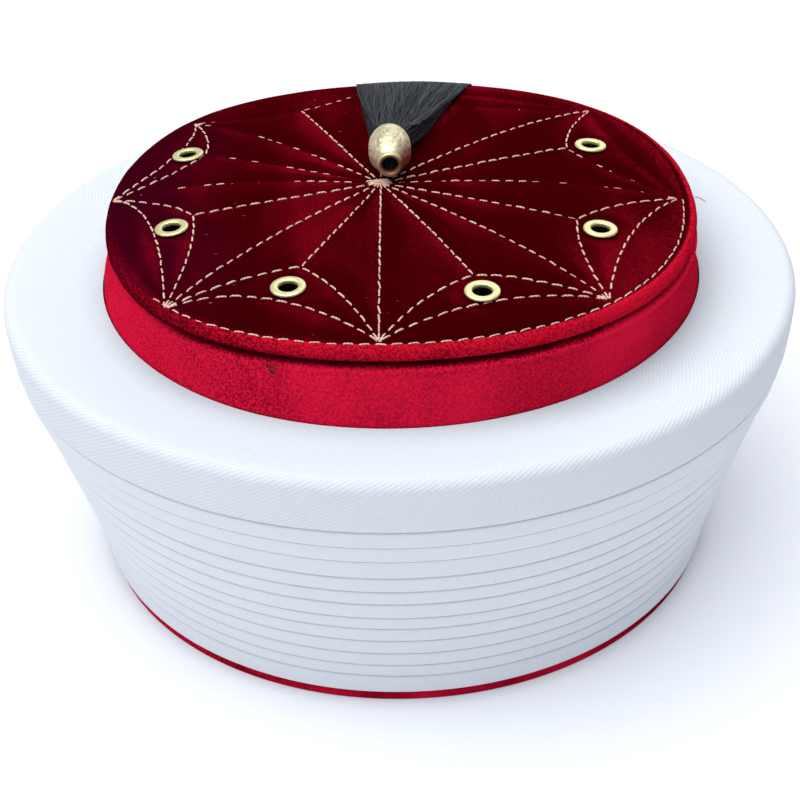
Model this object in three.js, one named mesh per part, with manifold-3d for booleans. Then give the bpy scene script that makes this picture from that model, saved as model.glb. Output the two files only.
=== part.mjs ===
// Fez with a wound turban cloth, a stitched velvet top, brass eyelets, a gilt bead and a black tassel.
// Millimetres, +Z up. The origin is the centre of the base rim. The front faces -Y.
// The tassel lies towards +Y.

import * as THREE from 'three';
import { mergeVertices } from 'three/addons/utils/BufferGeometryUtils.js';
import Module from 'manifold-3d';

const wasm = await Module();
wasm.setup();

// Driving dimensions

const gap = 0.3;
const roundSteps = 48;
const mergeDistance = 1e-4;

// Velvet crown. The band is where the wall comes out of the turban.
const crown = {
  baseRadius: 94,
  bandRadius: 87.5,
  bandHeight: 86.8,
  topRadius: 85.6,
  wallHeight: 104,
  feltThickness: 2.4,
  hemChamfer: 0.4,
};

// The top was sewn on by hand: it sits a little forward, leans back, and is slightly square.
const topForward = 0.8;
const topLean = THREE.MathUtils.degToRad(0.6);
const topSquareness = 0.016;

// Padded top panel with a rolled edge, a topstitched valley and a flat-topped dome.
const panel = {
  domeHeight: 112.8,
  domePower: 4,
  edgeHeight: 109.2,
  stitchRadius: 84.2,
  stitchDepth: 0.35,
  rollRadius: 86.6,
  rollFlat: 2,
  rollRound: 0.9,
  thickness: 4.2,
  seatWidth: 2.5,
};

// Rings of the panel's faces, as shares of the stitched radius, from the middle outwards.
const underRings = [0, 0.5, 0.93];
const domeRings = [0, 0.3, 0.52, 0.7, 0.83, 0.92, 0.985];

// Wound cloth. Each row is the lower edge of one fold, from the hem upwards.
const folds = [
  { edgeRadius: 95.0, edgeHeight: 3.0 },
  { edgeRadius: 96.2, edgeHeight: 10.7 },
  { edgeRadius: 97.3, edgeHeight: 15.6 },
  { edgeRadius: 98.6, edgeHeight: 21.0 },
  { edgeRadius: 100.1, edgeHeight: 26.7 },
  { edgeRadius: 101.6, edgeHeight: 32.2 },
  { edgeRadius: 103.0, edgeHeight: 37.1 },
  { edgeRadius: 104.9, edgeHeight: 43.4 },
  { edgeRadius: 106.6, edgeHeight: 49.0 },
  { edgeRadius: 108.4, edgeHeight: 55.0 },
  { edgeRadius: 110.6, edgeHeight: 62.0 },
  { edgeRadius: 112.5, edgeHeight: 68.1 },
];
const foldLap = 0.9;
const foldTuck = 0.35;
const foldBulge = 0.3;

// Last, wide turn of the cloth, from its lower edge over the rim to the crown.
const cover = {
  edgeRadius: 114.2,
  edgeHeight: 73.9,
  sideRadius: 115.1,
  topHeight: 89.5,
  crownHeight: 87.1,
  rimRound: 4.5,
  thickness: 1.4,
  arcSteps: 4,
};

// Brass eyelets. Each row is one eyelet's place on the top panel.
const eyelet = {
  holeRadius: 2.65,
  barrelRadius: 3.1,
  flangeRadius: 4.7,
  flangeHeight: 0.85,
  flangeRound: 0.2,
  clinchRadius: 3.9,
  clinchHeight: 0.6,
  steps: 12,
};
const eyeletPlaces = [
  { angle: 244.0, radius: 65.6 },
  { angle: 288.4, radius: 67.2 },
  { angle: 330.0, radius: 63.6 },
  { angle: 21.1, radius: 62.5 },
  { angle: 158.0, radius: 67.0 },
  { angle: 200.2, radius: 66.5 },
];

// Gilt bead, lying on the panel behind the middle of the star with its bore along Y.
const bead = {
  x: -1.6,
  front: -3.0,
  length: 17,
  bodyRadius: 6.0,
  boreRadius: 2.4,
  cupRadius: 4.6,
  cupDepth: 7,
  bosses: 8,
  bossWidth: 3.6,
  bossLength: 6.4,
  bossDepth: 1.5,
  bossRise: 0.4,
  bossAlong: 10.6,
  bossSides: 8,
  bossRings: 5,
  steps: 16,
};

// Outside of the bead, from the face of its collar to its rear lip.
const beadOutline = [
  { along: 0, radius: 3.6 },
  { along: 1.3, radius: 3.8 },
  { along: 2.6, radius: 3.3 },
  { along: 4.6, radius: 5.0 },
  { along: 8.5, radius: bead.bodyRadius },
  { along: 13.3, radius: bead.bodyRadius },
  { along: bead.length, radius: 5.4 },
];

// Tassel. Each row is one lock: the angle where it crosses the back edge, its width there and its hang.
const locks = [
  { edgeAngle: 97.2, edgeWidth: 5.4, hang: 12.0 },
  { edgeAngle: 93.4, edgeWidth: 6.4, hang: 14.5 },
  { edgeAngle: 89.5, edgeWidth: 6.6, hang: 16.0 },
  { edgeAngle: 85.3, edgeWidth: 6.8, hang: 15.0 },
  { edgeAngle: 81.2, edgeWidth: 6.8, hang: 16.0 },
  { edgeAngle: 77.2, edgeWidth: 6.4, hang: 14.0 },
  { edgeAngle: 73.5, edgeWidth: 5.4, hang: 12.5 },
];

// Stations of every lock on the panel: share of the way to the edge, height of the lock and its rise.
const lockStations = [
  { share: 0.01, height: 7.6, rise: 2.6 },
  { share: 0.13, height: 6.8, rise: 1.2 },
  { share: 0.3, height: 5.0, rise: 0.3 },
  { share: 0.55, height: 3.6, rise: 0 },
  { share: 0.88, height: 2.3, rise: 0 },
];

// Stations where a lock turns over the rolled edge, in degrees from level.
const lockTurns = [70, 35, 0];

// Stations of the hanging end: share of the hang, and width as a share of the width at the edge.
const lockDrops = [
  { share: 0.55, widthShare: 0.94 },
  { share: 1, widthShare: 0.8 },
];
const tassel = {
  headRadius: 4.2,
  headReach: 4,
  neckRadius: 2.0,
  neckInset: 1.5,
  fanX: 7,
  startSpread: 0.26,
  startWidth: 4.6,
  startClearance: 1,
  hangHeight: 1.9,
  edgeRound: 3.2,
  edgeClearance: 0.3,
  sides: 6,
  headSides: 10,
};

// Heights and radii worked out from the sizes above

// Outer radius of the crown wall before the top is squared.
function crownRadius(height) {
  if (height <= crown.bandHeight) {
    return THREE.MathUtils.mapLinear(height, 0, crown.bandHeight, crown.baseRadius, crown.bandRadius);
  }
  const { bandHeight, wallHeight, bandRadius, topRadius } = crown;
  return THREE.MathUtils.mapLinear(height, bandHeight, wallHeight, bandRadius, topRadius);
}

// How far a circle of the squared top is drawn in or out at an angle, as a factor.
const squareFactor = (angle) => 1 - topSquareness * Math.cos(4 * angle);

// Height of the dome over its middle axis, before the lean.
function domeHeight(radius) {
  const fall = panel.domeHeight - panel.edgeHeight;
  return panel.domeHeight - fall * (radius / panel.stitchRadius) ** panel.domePower;
}

// Height of the finished top panel at a point.
function topHeight(x, y) {
  const back = y + topForward;
  const radius = Math.hypot(x, back) / squareFactor(Math.atan2(back, x));
  return domeHeight(radius) - back * Math.tan(topLean);
}

// Upward direction of the finished top panel at a point.
function topNormal(x, y) {
  const step = 0.5;
  const slopeX = (topHeight(x + step, y) - topHeight(x - step, y)) / (2 * step);
  const slopeY = (topHeight(x, y + step) - topHeight(x, y - step)) / (2 * step);
  return new THREE.Vector3(-slopeX, -slopeY, 1).normalize();
}

// Mesh helpers

// Solid of revolution about Z. A ring's profile runs up its outside and down its inside.
function turned(profile, steps = roundSteps) {
  const outline = profile.map(([radius, height]) => new THREE.Vector2(radius, height));
  return new THREE.LatheGeometry(outline, steps).rotateX(Math.PI / 2);
}

function turnedRing(profile, steps = roundSteps) {
  return turned([...profile, profile[0]], steps);
}

// Moves every vertex of a geometry.
function moved(geometry, move) {
  const position = geometry.attributes.position;
  const point = new THREE.Vector3();
  for (let i = 0; i < position.count; i += 1) {
    point.fromBufferAttribute(position, i);
    move(point);
    position.setXYZ(i, point.x, point.y, point.z);
  }
  return geometry;
}

// Gives the part of the crown above the turban its square, leaning form.
function sewnForm(geometry) {
  return moved(geometry, (point) => {
    const share = THREE.MathUtils.smoothstep(point.z, cover.topHeight, crown.wallHeight);
    const factor = THREE.MathUtils.lerp(1, squareFactor(Math.atan2(point.y, point.x)), share);
    point.x *= factor;
    point.y *= factor;
    point.z -= point.y * Math.tan(topLean) * share;
    point.y -= topForward * share;
  });
}

function solidOf(geometry) {
  const bare = geometry.clone();
  bare.deleteAttribute('normal');
  bare.deleteAttribute('uv');
  const merged = mergeVertices(bare, mergeDistance);
  const vertProperties = new Float32Array(merged.attributes.position.array);
  const triVerts = new Uint32Array(merged.index.array);
  const mesh = new wasm.Mesh({ numProp: 3, vertProperties, triVerts });
  mesh.merge();
  return new wasm.Manifold(mesh);
}

function geometryOf(solid) {
  const { vertProperties, triVerts } = solid.getMesh();
  const geometry = new THREE.BufferGeometry();
  geometry.setAttribute('position', new THREE.BufferAttribute(new Float32Array(vertProperties), 3));
  geometry.setIndex(new THREE.BufferAttribute(new Uint32Array(triVerts), 1));
  geometry.computeVertexNormals();
  return geometry;
}

// Materials

const velvet = new THREE.MeshStandardMaterial({ color: 0xb3142c, roughness: 0.85 });
const velvetTop = new THREE.MeshStandardMaterial({ color: 0x5a0710, roughness: 0.85 });
const turbanCloth = new THREE.MeshStandardMaterial({ color: 0xf1f2f7, roughness: 0.9 });
const brass = new THREE.MeshStandardMaterial({ color: 0xe8d48a, roughness: 0.25, metalness: 1 });
const gilt = new THREE.MeshStandardMaterial({ color: 0xe3c27c, roughness: 0.35, metalness: 1 });
const thread = new THREE.MeshStandardMaterial({ color: 0x2c2d33, roughness: 0.6 });

// Crown

function crownWall() {
  const { baseRadius, bandRadius, bandHeight, topRadius, wallHeight, feltThickness, hemChamfer } = crown;
  const middle = (bandHeight + wallHeight) / 2;
  return sewnForm(turnedRing([
    [baseRadius - hemChamfer, 0],
    [baseRadius, hemChamfer],
    [bandRadius, bandHeight],
    [crownRadius(middle), middle],
    [topRadius, wallHeight],
    [topRadius - feltThickness, wallHeight],
    [crownRadius(middle) - feltThickness, middle],
    [bandRadius - feltThickness, bandHeight],
    [baseRadius - feltThickness, hemChamfer],
    [baseRadius - feltThickness + hemChamfer, 0],
  ]));
}

function crownTop() {
  const { edgeHeight, stitchRadius, stitchDepth, thickness, seatWidth } = panel;
  const { rollRadius, rollFlat, rollRound } = panel;
  const seat = crown.wallHeight + gap;
  const rollMiddle = (seat + edgeHeight) / 2;
  const ring = (share, depth) => [share * stitchRadius, domeHeight(share * stitchRadius) - depth];
  const blank = sewnForm(turned([
    ...underRings.map((share) => ring(share, thickness)),
    [crown.topRadius - seatWidth, seat],
    [crown.topRadius, seat],
    [rollRadius, rollMiddle - rollFlat / 2],
    [rollRadius, rollMiddle + rollFlat / 2],
    [rollRadius - rollRound, edgeHeight - rollRound],
    [stitchRadius, edgeHeight - stitchDepth],
    ...domeRings.toReversed().map((share) => ring(share, 0)),
  ]));
  const drill = new THREE.CylinderGeometry(1, 1, 4 * thickness, eyelet.steps).rotateX(Math.PI / 2);
  const drillRadius = eyelet.barrelRadius + gap;
  return geometryOf(eyeletPlaces.reduce((solid, place) => {
    const hole = drill.clone().scale(drillRadius, drillRadius, 1).applyMatrix4(eyeletMatrix(place));
    return solid.subtract(solidOf(hole));
  }, solidOf(blank)));
}

// Turban

function turbanWrap() {
  const lining = cover.thickness + gap;
  const underCover = { edgeRadius: cover.edgeRadius - lining + foldLap, edgeHeight: cover.edgeHeight };
  const outside = folds.flatMap((fold, i) => {
    const above = folds[i + 1] ?? underCover;
    const tuck = [above.edgeRadius - foldLap, above.edgeHeight + foldTuck];
    const middle = [(fold.edgeRadius + tuck[0]) / 2 + foldBulge, (fold.edgeHeight + tuck[1]) / 2];
    return [[fold.edgeRadius, fold.edgeHeight], middle, tuck];
  });
  const innerRadius = (height) => crownRadius(height) + gap;
  const topInside = cover.crownHeight - lining;
  return turnedRing([
    ...outside,
    ...coverSkin(lining).slice(1),
    [innerRadius(topInside), topInside],
    [innerRadius(folds[0].edgeHeight), folds[0].edgeHeight],
  ]);
}

// Outline of the cover at a depth under its outer face, from its lower edge up over the rim.
function coverSkin(depth) {
  const { edgeRadius, edgeHeight, sideRadius, topHeight: rimHeight, rimRound, arcSteps } = cover;
  const centreHeight = rimHeight - rimRound;
  const outline = [[edgeRadius - depth, edgeHeight]];
  for (let i = 0; i <= arcSteps; i += 1) {
    const turn = (i / arcSteps) * (Math.PI / 2);
    const radius = sideRadius - rimRound + (rimRound - depth) * Math.cos(turn);
    outline.push([radius, centreHeight + (rimRound - depth) * Math.sin(turn)]);
  }
  return outline;
}

function turbanCover() {
  const { crownHeight, thickness } = cover;
  const innerEdge = crownRadius(crownHeight - thickness) + gap;
  return turnedRing([
    ...coverSkin(0),
    [innerEdge, crownHeight],
    [innerEdge, crownHeight - thickness],
    ...coverSkin(thickness).reverse(),
  ]);
}

// Eyelets

// Stands an eyelet on the panel: its local Z is the panel's normal and its local origin the panel's face.
function eyeletMatrix({ angle, radius }) {
  const turn = THREE.MathUtils.degToRad(angle);
  const x = radius * Math.cos(turn);
  const y = radius * Math.sin(turn);
  const tilt = new THREE.Quaternion().setFromUnitVectors(new THREE.Vector3(0, 0, 1), topNormal(x, y));
  return new THREE.Matrix4().makeRotationFromQuaternion(tilt).setPosition(x, y, topHeight(x, y));
}

function eyeletRing() {
  const { holeRadius, barrelRadius, clinchRadius, clinchHeight } = eyelet;
  const { flangeRadius, flangeHeight, flangeRound } = eyelet;
  const back = -panel.thickness - gap;
  const shoulder = gap + flangeHeight / 2;
  return turnedRing([
    [holeRadius, back - clinchHeight],
    [clinchRadius, back - clinchHeight],
    [barrelRadius, back],
    [barrelRadius, gap],
    [flangeRadius, gap],
    [flangeRadius - flangeRound, shoulder],
    [(holeRadius + flangeRadius) / 2, gap + flangeHeight],
    [holeRadius, shoulder],
  ], eyelet.steps);
}

// Bead and tassel

const beadSeat = topHeight(bead.x, bead.front + bead.bossAlong);
const beadAxisHeight = beadSeat + gap + bead.bodyRadius + bead.bossRise;

// Barrel with a collar, a through bore and a wider cup behind, and a ring of raised bosses.
function tasselBead() {
  const { length, bodyRadius, boreRadius, cupRadius, cupDepth } = bead;
  const outline = [
    [boreRadius, 0],
    ...beadOutline.map(({ along, radius }) => [radius, along]),
    [cupRadius, length],
    [cupRadius, length - cupDepth],
    [boreRadius, length - cupDepth],
    [boreRadius, 0],
  ].map(([radius, along]) => new THREE.Vector2(radius, along));
  const barrel = new THREE.LatheGeometry(outline, bead.steps);
  const boss = new THREE.SphereGeometry(0.5, bead.bossSides, bead.bossRings);
  boss.scale(bead.bossWidth, bead.bossLength, bead.bossDepth);
  boss.translate(0, bead.bossAlong, bodyRadius + bead.bossRise - bead.bossDepth / 2);
  let solid = solidOf(barrel);
  for (let i = 0; i < bead.bosses; i += 1) {
    solid = solid.add(solidOf(boss.clone().rotateY((i * 2 * Math.PI) / bead.bosses)));
  }
  return geometryOf(solid).translate(bead.x, bead.front, beadAxisHeight);
}

const beadRear = bead.front + bead.length;

// Sections of one lock, each with its middle, side direction, width and height. They run over the panel,
// round its edge and down the wall.
function lockSections({ edgeAngle, edgeWidth, hang }) {
  const { startSpread, startWidth, startClearance, hangHeight, edgeRound, edgeClearance } = tassel;
  const angle = THREE.MathUtils.degToRad(edgeAngle);
  const outward = new THREE.Vector3(Math.cos(angle), Math.sin(angle), 0);
  const sideways = new THREE.Vector3(outward.y, -outward.x, 0);
  const edgeRadius = panel.rollRadius * squareFactor(angle);
  const edge = outward.clone().multiplyScalar(edgeRadius);
  const edgeTop = panel.edgeHeight - edge.y * Math.tan(topLean);
  const startX = bead.x + startSpread * (edge.x - tassel.fanX);
  const startY = beadRear + startClearance;
  const laid = lockStations.map(({ share, height, rise }) => {
    const x = THREE.MathUtils.lerp(startX, edge.x, share);
    const y = THREE.MathUtils.lerp(startY, edge.y, share);
    const width = THREE.MathUtils.lerp(startWidth, edgeWidth, share);
    const middle = new THREE.Vector3(x, y, topHeight(x, y) + gap + rise + height / 2);
    return { middle, width, height, side: new THREE.Vector3(1, 0, 0).lerp(sideways, share) };
  });
  const lift = gap + edgeClearance + hangHeight / 2;
  const outside = (radius, z) => outward.clone().multiplyScalar(radius).setZ(z);
  const bent = lockTurns.map((degrees) => {
    const turn = THREE.MathUtils.degToRad(degrees);
    const reach = edgeRadius - edgeRound + (edgeRound + lift) * Math.cos(turn);
    const middle = outside(reach, edgeTop - edgeRound + (edgeRound + lift) * Math.sin(turn));
    return { middle, width: edgeWidth, height: hangHeight, side: sideways };
  });
  const hung = lockDrops.map(({ share, widthShare }) => {
    const z = edgeTop - share * hang;
    const middle = outside(Math.max(crownRadius(z), edgeRadius) + lift, z);
    return { middle, width: widthShare * edgeWidth, height: hangHeight, side: sideways };
  });
  return [...laid, ...bent, ...hung];
}

function lockBody(row) {
  const sections = lockSections(row);
  const path = new THREE.CatmullRomCurve3(sections.map(({ middle }) => middle));
  const blank = new THREE.CylinderGeometry(1, 1, 1, tassel.sides, sections.length - 1);
  return moved(blank, (point) => {
    const share = 0.5 - point.y;
    const section = sections[Math.round(share * (sections.length - 1))];
    const along = path.getTangent(share);
    const side = section.side.clone().addScaledVector(along, -section.side.dot(along)).normalize();
    const up = new THREE.Vector3().crossVectors(side, along);
    const sideOffset = (point.x * section.width) / 2;
    const upOffset = (-point.z * section.height) / 2;
    point.copy(section.middle).addScaledVector(side, sideOffset).addScaledVector(up, upOffset);
  });
}

// Head in the bead's cup, with a neck through its bore, and the locks fused to it.
function tasselSkirt() {
  const { headRadius, headReach, neckRadius, neckInset, headSides } = tassel;
  const neckFront = bead.front + neckInset;
  const headFront = beadRear - bead.cupDepth + gap;
  const outline = [
    [0, neckFront],
    [neckRadius, neckFront],
    [neckRadius, headFront],
    [headRadius, headFront],
    [headRadius, beadRear + headReach],
    [0, beadRear + headReach],
  ].map(([radius, along]) => new THREE.Vector2(radius, along));
  const head = new THREE.LatheGeometry(outline, headSides).translate(bead.x, 0, beadAxisHeight);
  return geometryOf(locks.reduce((solid, row) => solid.add(solidOf(lockBody(row))), solidOf(head)));
}

// Assembly

const fez = new THREE.Group();

function place(name, geometry, material) {
  const mesh = new THREE.Mesh(geometry, material);
  mesh.name = name;
  fez.add(mesh);
  return mesh;
}

place('crown_wall', crownWall(), velvet);
place('crown_top', crownTop(), velvetTop);
place('turban_wrap', turbanWrap(), turbanCloth);
place('turban_cover', turbanCover(), turbanCloth);
eyeletPlaces.forEach((row, i) => {
  place(`eyelet_${i + 1}`, eyeletRing(), brass).applyMatrix4(eyeletMatrix(row));
});
place('tassel_bead', tasselBead(), gilt);
place('tassel_skirt', tasselSkirt(), thread);

export default fez;
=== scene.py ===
"""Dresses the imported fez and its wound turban: velvet, cloth, stitches, brass, gilt and tassel threads.

Sizes are in millimetres unless a name says otherwise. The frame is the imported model's: +Z is up, the front
faces -Y, the tassel lies towards +Y and the hat stands on the floor at z = 0.
"""

import logging
import math
from collections.abc import Callable, Sequence
from dataclasses import dataclass, field
from enum import Enum

import bpy
import numpy as np
from mathutils import Matrix, Vector
from mathutils.kdtree import KDTree


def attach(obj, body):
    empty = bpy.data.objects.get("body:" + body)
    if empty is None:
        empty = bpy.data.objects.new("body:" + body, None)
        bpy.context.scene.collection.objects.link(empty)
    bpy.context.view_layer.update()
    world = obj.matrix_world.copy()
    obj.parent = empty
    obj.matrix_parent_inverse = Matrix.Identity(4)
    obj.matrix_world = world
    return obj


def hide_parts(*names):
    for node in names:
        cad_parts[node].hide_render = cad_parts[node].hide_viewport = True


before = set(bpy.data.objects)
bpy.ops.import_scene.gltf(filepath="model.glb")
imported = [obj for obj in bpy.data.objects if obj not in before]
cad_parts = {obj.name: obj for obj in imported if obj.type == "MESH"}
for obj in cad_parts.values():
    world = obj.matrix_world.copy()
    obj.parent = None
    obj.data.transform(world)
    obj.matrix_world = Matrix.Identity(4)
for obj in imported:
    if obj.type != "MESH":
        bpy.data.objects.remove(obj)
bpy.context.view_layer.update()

MM = 0.001
GAP = 0.3
MERGE_DISTANCE = 0.01
BODY = "root"
LOG = logging.getLogger("fez")

Outline = list[tuple[float, float]]
Colour = tuple[int, int, int]
Sockets = dict[str, bpy.types.NodeSocket]

EYELET_PLACES = (
    (244.0, 65.6),
    (288.4, 67.2),
    (330.0, 63.6),
    (21.1, 62.5),
    (158.0, 67.0),
    (200.2, 66.5),
)


class Slot(Enum):
    """Material slots of the record."""

    VELVET = "velvet"
    VELVET_TOP = "velvet_top"
    TURBAN = "turban_cloth"
    BRASS = "brass"
    GILT = "gilt"
    THREAD = "tassel_thread"


# Small sums

def smooth_step(low: float, high: float, value: np.ndarray) -> np.ndarray:
    """Returns 0 below low, 1 above high and a soft rise between them."""
    share = np.clip((value - low) / (high - low), 0.0, 1.0)
    return share * share * (3.0 - 2.0 * share)


def blend(start: np.ndarray, end: np.ndarray, share: np.ndarray) -> np.ndarray:
    """Returns the point or number that lies a share of the way from start to end."""
    return start + (end - start) * share


def polar(angle_deg: float, radius: float) -> np.ndarray:
    """Returns the plan point at an angle and a radius from the hat's axis."""
    angle = math.radians(angle_deg)
    return np.array((radius * math.cos(angle), radius * math.sin(angle)))


def arc(centre: tuple[float, float], radius: float, turn: np.ndarray) -> Outline:
    """Returns outline points on a circle, at angles in radians."""
    return [(centre[0] + radius * math.cos(a), centre[1] + radius * math.sin(a)) for a in turn]


def ripple(
    angle: np.ndarray, height: np.ndarray, seed: int, waves: Sequence[int], pitch: float
) -> np.ndarray:
    """Returns a slow hand-made waviness round a turned piece.

    Args:
        angle: Angles round the axis, in radians.
        height: Heights, in millimetres.
        seed: Seed of the waves' phases.
        waves: Number of waves round the piece, one for each wave that is added.
        pitch: Height over which the waves drift by about one radian.

    Returns:
        Values of about -1 to 1.
    """
    draw = np.random.default_rng(seed)
    total = np.zeros_like(angle)
    for wave in waves:
        phase, drift = draw.uniform(0, math.tau), draw.uniform(-1, 1)
        total = total + np.sin(wave * angle + phase + drift * height / pitch)
    return total / len(waves)


def smooth_path(controls: np.ndarray, count: int) -> np.ndarray:
    """Runs a smooth line through control points.

    Args:
        controls: Control points, an array of (paths, controls, 3).
        count: Number of points on each finished path.

    Returns:
        Points of the paths, an array of (paths, count, 3).
    """
    padded = np.concatenate((controls[:, :1], controls, controls[:, -1:]), axis=1)
    place = np.linspace(0, controls.shape[1] - 1, count)
    index = np.minimum(place.astype(int), controls.shape[1] - 2)
    t = (place - index)[None, :, None]
    a, b, c, d = (padded[:, index + i] for i in range(4))
    return 0.5 * (2 * b + (c - a) * t + (2 * a - 5 * b + 4 * c - d) * t**2 + (3 * b - a - 3 * c + d) * t**3)


# Mesh tools

def point_start(name: str, place: tuple[float, float, float]) -> bpy.types.Object:
    """Starts a piece as a small plane merged to one selected point, and stays in edit mode.

    Args:
        name: Name of the new piece.
        place: Where the point goes, in millimetres.

    Returns:
        The new piece.
    """
    bpy.ops.object.select_all(action="DESELECT")
    bpy.ops.mesh.primitive_plane_add(size=MM, enter_editmode=True)
    piece = bpy.context.active_object
    piece.name = name
    piece.data.name = name
    bpy.ops.mesh.select_all(action="SELECT")
    bpy.ops.mesh.merge(type="CENTER")
    bpy.ops.transform.translate(value=Vector(place) * MM)
    return piece


def turned(name: str, outline: Outline, steps: int, crease_deg: float = 180.0) -> bpy.types.Object:
    """Extrudes a point along an outline and spins it about the Z axis.

    Args:
        name: Name of the new piece.
        outline: (radius, height) points. A ring's outline ends on its first point.
        steps: Number of steps round the axis.
        crease_deg: Edges sharper than this stay sharp.

    Returns:
        The new closed piece, smooth and facing outwards.
    """
    piece = point_start(name, (outline[0][0], 0.0, outline[0][1]))
    for (radius, height), (next_radius, next_height) in zip(outline, outline[1:]):
        move = Vector((next_radius - radius, 0.0, next_height - height)) * MM
        bpy.ops.mesh.extrude_region_move(TRANSFORM_OT_translate={"value": move})
    bpy.ops.mesh.select_all(action="SELECT")
    bpy.ops.mesh.spin(steps=steps, angle=math.tau, center=(0, 0, 0), axis=(0, 0, 1))
    bpy.ops.mesh.select_all(action="SELECT")
    bpy.ops.mesh.remove_doubles(threshold=MERGE_DISTANCE * MM)
    bpy.ops.mesh.normals_make_consistent(inside=False)
    bpy.ops.object.mode_set(mode="OBJECT")
    bpy.ops.object.shade_smooth_by_angle(angle=math.radians(crease_deg))
    return piece


def points_of(piece: bpy.types.Object) -> np.ndarray:
    """Returns the piece's vertices in millimetres, as rows of x, y and z."""
    flat = np.empty(3 * len(piece.data.vertices))
    piece.data.vertices.foreach_get("co", flat)
    return flat.reshape(-1, 3) / MM


def reshape(piece: bpy.types.Object, move: Callable[[np.ndarray], np.ndarray]) -> None:
    """Moves every vertex of a piece by a rule on points in millimetres."""
    piece.data.vertices.foreach_set("co", (move(points_of(piece)) * MM).ravel())
    piece.data.update()


def paint(piece: bpy.types.Object, name: str, values: np.ndarray) -> None:
    """Stores one number for each vertex, for the piece's material."""
    layer = piece.data.attributes.new(name, "FLOAT", "POINT")
    layer.data.foreach_set("value", np.asarray(values, dtype=np.float32))


def corners_of(mesh: bpy.types.Mesh) -> np.ndarray:
    """Returns the number of the vertex at each corner of the mesh's faces."""
    corners = np.empty(len(mesh.loops), dtype=np.int64)
    mesh.loops.foreach_get("vertex_index", corners)
    return corners


def wrap_uv(piece: bpy.types.Object, outline: Outline) -> None:
    """Lays a UV map on a freshly turned piece: U runs round it and V along its outline, both in metres.

    Args:
        piece: The turned piece, not yet reshaped.
        outline: The outline that it was turned from.
    """
    points = points_of(piece)
    profile = np.array(outline)
    lengths = np.concatenate(([0.0], np.cumsum(np.hypot(*np.diff(profile, axis=0).T))))
    radius = np.hypot(points[:, 0], points[:, 1])
    away = np.hypot(radius[:, None] - profile[None, :, 0], points[:, 2:3] - profile[None, :, 1])
    along = lengths[away.argmin(axis=1)]
    angle = np.arctan2(points[:, 0], -points[:, 1])
    mesh = piece.data
    corners = corners_of(mesh)
    starts = np.empty(len(mesh.polygons), dtype=np.int64)
    mesh.polygons.foreach_get("loop_start", starts)
    counts = np.diff(np.append(starts, len(corners)))
    turn = angle[corners]
    largest = np.repeat(np.maximum.reduceat(turn, starts), counts)
    turn = np.where(largest - turn > math.pi, turn + math.tau, turn)
    layer = mesh.uv_layers.new(name="cloth")
    uv = np.stack((turn * profile[:, 0].max(), along[corners]), axis=1) * MM
    layer.data.foreach_set("uv", uv.astype(np.float32).ravel())


def tube_mesh(
    name: str, paths: np.ndarray, radii: np.ndarray, sides: int, shades: np.ndarray
) -> bpy.types.Object:
    """Joins many thin closed tubes into one piece.

    Args:
        name: Name of the new piece.
        paths: Points of the tubes, an array of (tubes, points, 3).
        radii: Radius at each point, an array of (tubes, points).
        sides: Number of sides of a tube.
        shades: One number for each tube, stored for the material.

    Returns:
        The new piece, with the numbers in "shade" and a UV map in metres along and round each tube.
    """
    tubes, count, _ = paths.shape
    along = np.gradient(paths, axis=1)
    along /= np.linalg.norm(along, axis=2, keepdims=True) + 1e-9
    upright = np.where(np.abs(along[..., 2:3]) > 0.9, (0.0, 1.0, 0.0), (0.0, 0.0, 1.0))
    across = np.cross(along, upright)
    across /= np.linalg.norm(across, axis=2, keepdims=True)
    up = np.cross(across, along)
    turn = np.linspace(0, math.tau, sides, endpoint=False)
    rim = np.cos(turn)[:, None] * across[:, :, None] + np.sin(turn)[:, None] * up[:, :, None]
    points = (paths[:, :, None] + radii[:, :, None, None] * rim).reshape(-1, 3)
    first = np.arange(tubes)[:, None, None] * count * sides + np.arange(count - 1)[None, :, None] * sides
    near = first + np.arange(sides)
    far = first + np.roll(np.arange(sides), -1)
    quads = np.stack((near, far, far + sides, near + sides), axis=-1).reshape(-1, 4)
    ends = np.arange(tubes)[:, None] * count * sides + np.arange(sides)
    caps = np.concatenate((ends[:, ::-1], ends + (count - 1) * sides))
    mesh = bpy.data.meshes.new(name)
    mesh.from_pydata(points * MM, [], quads.tolist() + caps.tolist())
    mesh.polygons.foreach_set("use_smooth", np.ones(len(mesh.polygons), dtype=bool))
    piece = bpy.data.objects.new(name, mesh)
    bpy.context.collection.objects.link(piece)
    paint(piece, "shade", np.repeat(shades, count * sides))
    step = np.linalg.norm(np.diff(paths, axis=1), axis=2)
    run = np.concatenate((np.zeros((tubes, 1)), np.cumsum(step, axis=1)), axis=1)
    girth = np.arange(sides) / sides
    table = np.stack(np.broadcast_arrays(run[:, :, None] * MM, girth[None, None]), axis=-1).reshape(-1, 2)
    corners = corners_of(mesh)
    layer = mesh.uv_layers.new(name="thread")
    layer.data.foreach_set("uv", table[corners].astype(np.float32).ravel())
    return piece


def triangles_in(piece: bpy.types.Object) -> int:
    """Returns how many triangles the piece's mesh has."""
    return sum(len(face.vertices) - 2 for face in piece.data.polygons)


# Shader tools

def tint(colour: Colour) -> tuple[float, float, float, float]:
    """Returns a screen colour as the linear colour that a socket takes."""
    shares = np.array(colour) / 255
    linear = np.where(shares <= 0.04045, shares / 12.92, ((shares + 0.055) / 1.055) ** 2.4)
    return (*linear.tolist(), 1.0)


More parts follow.
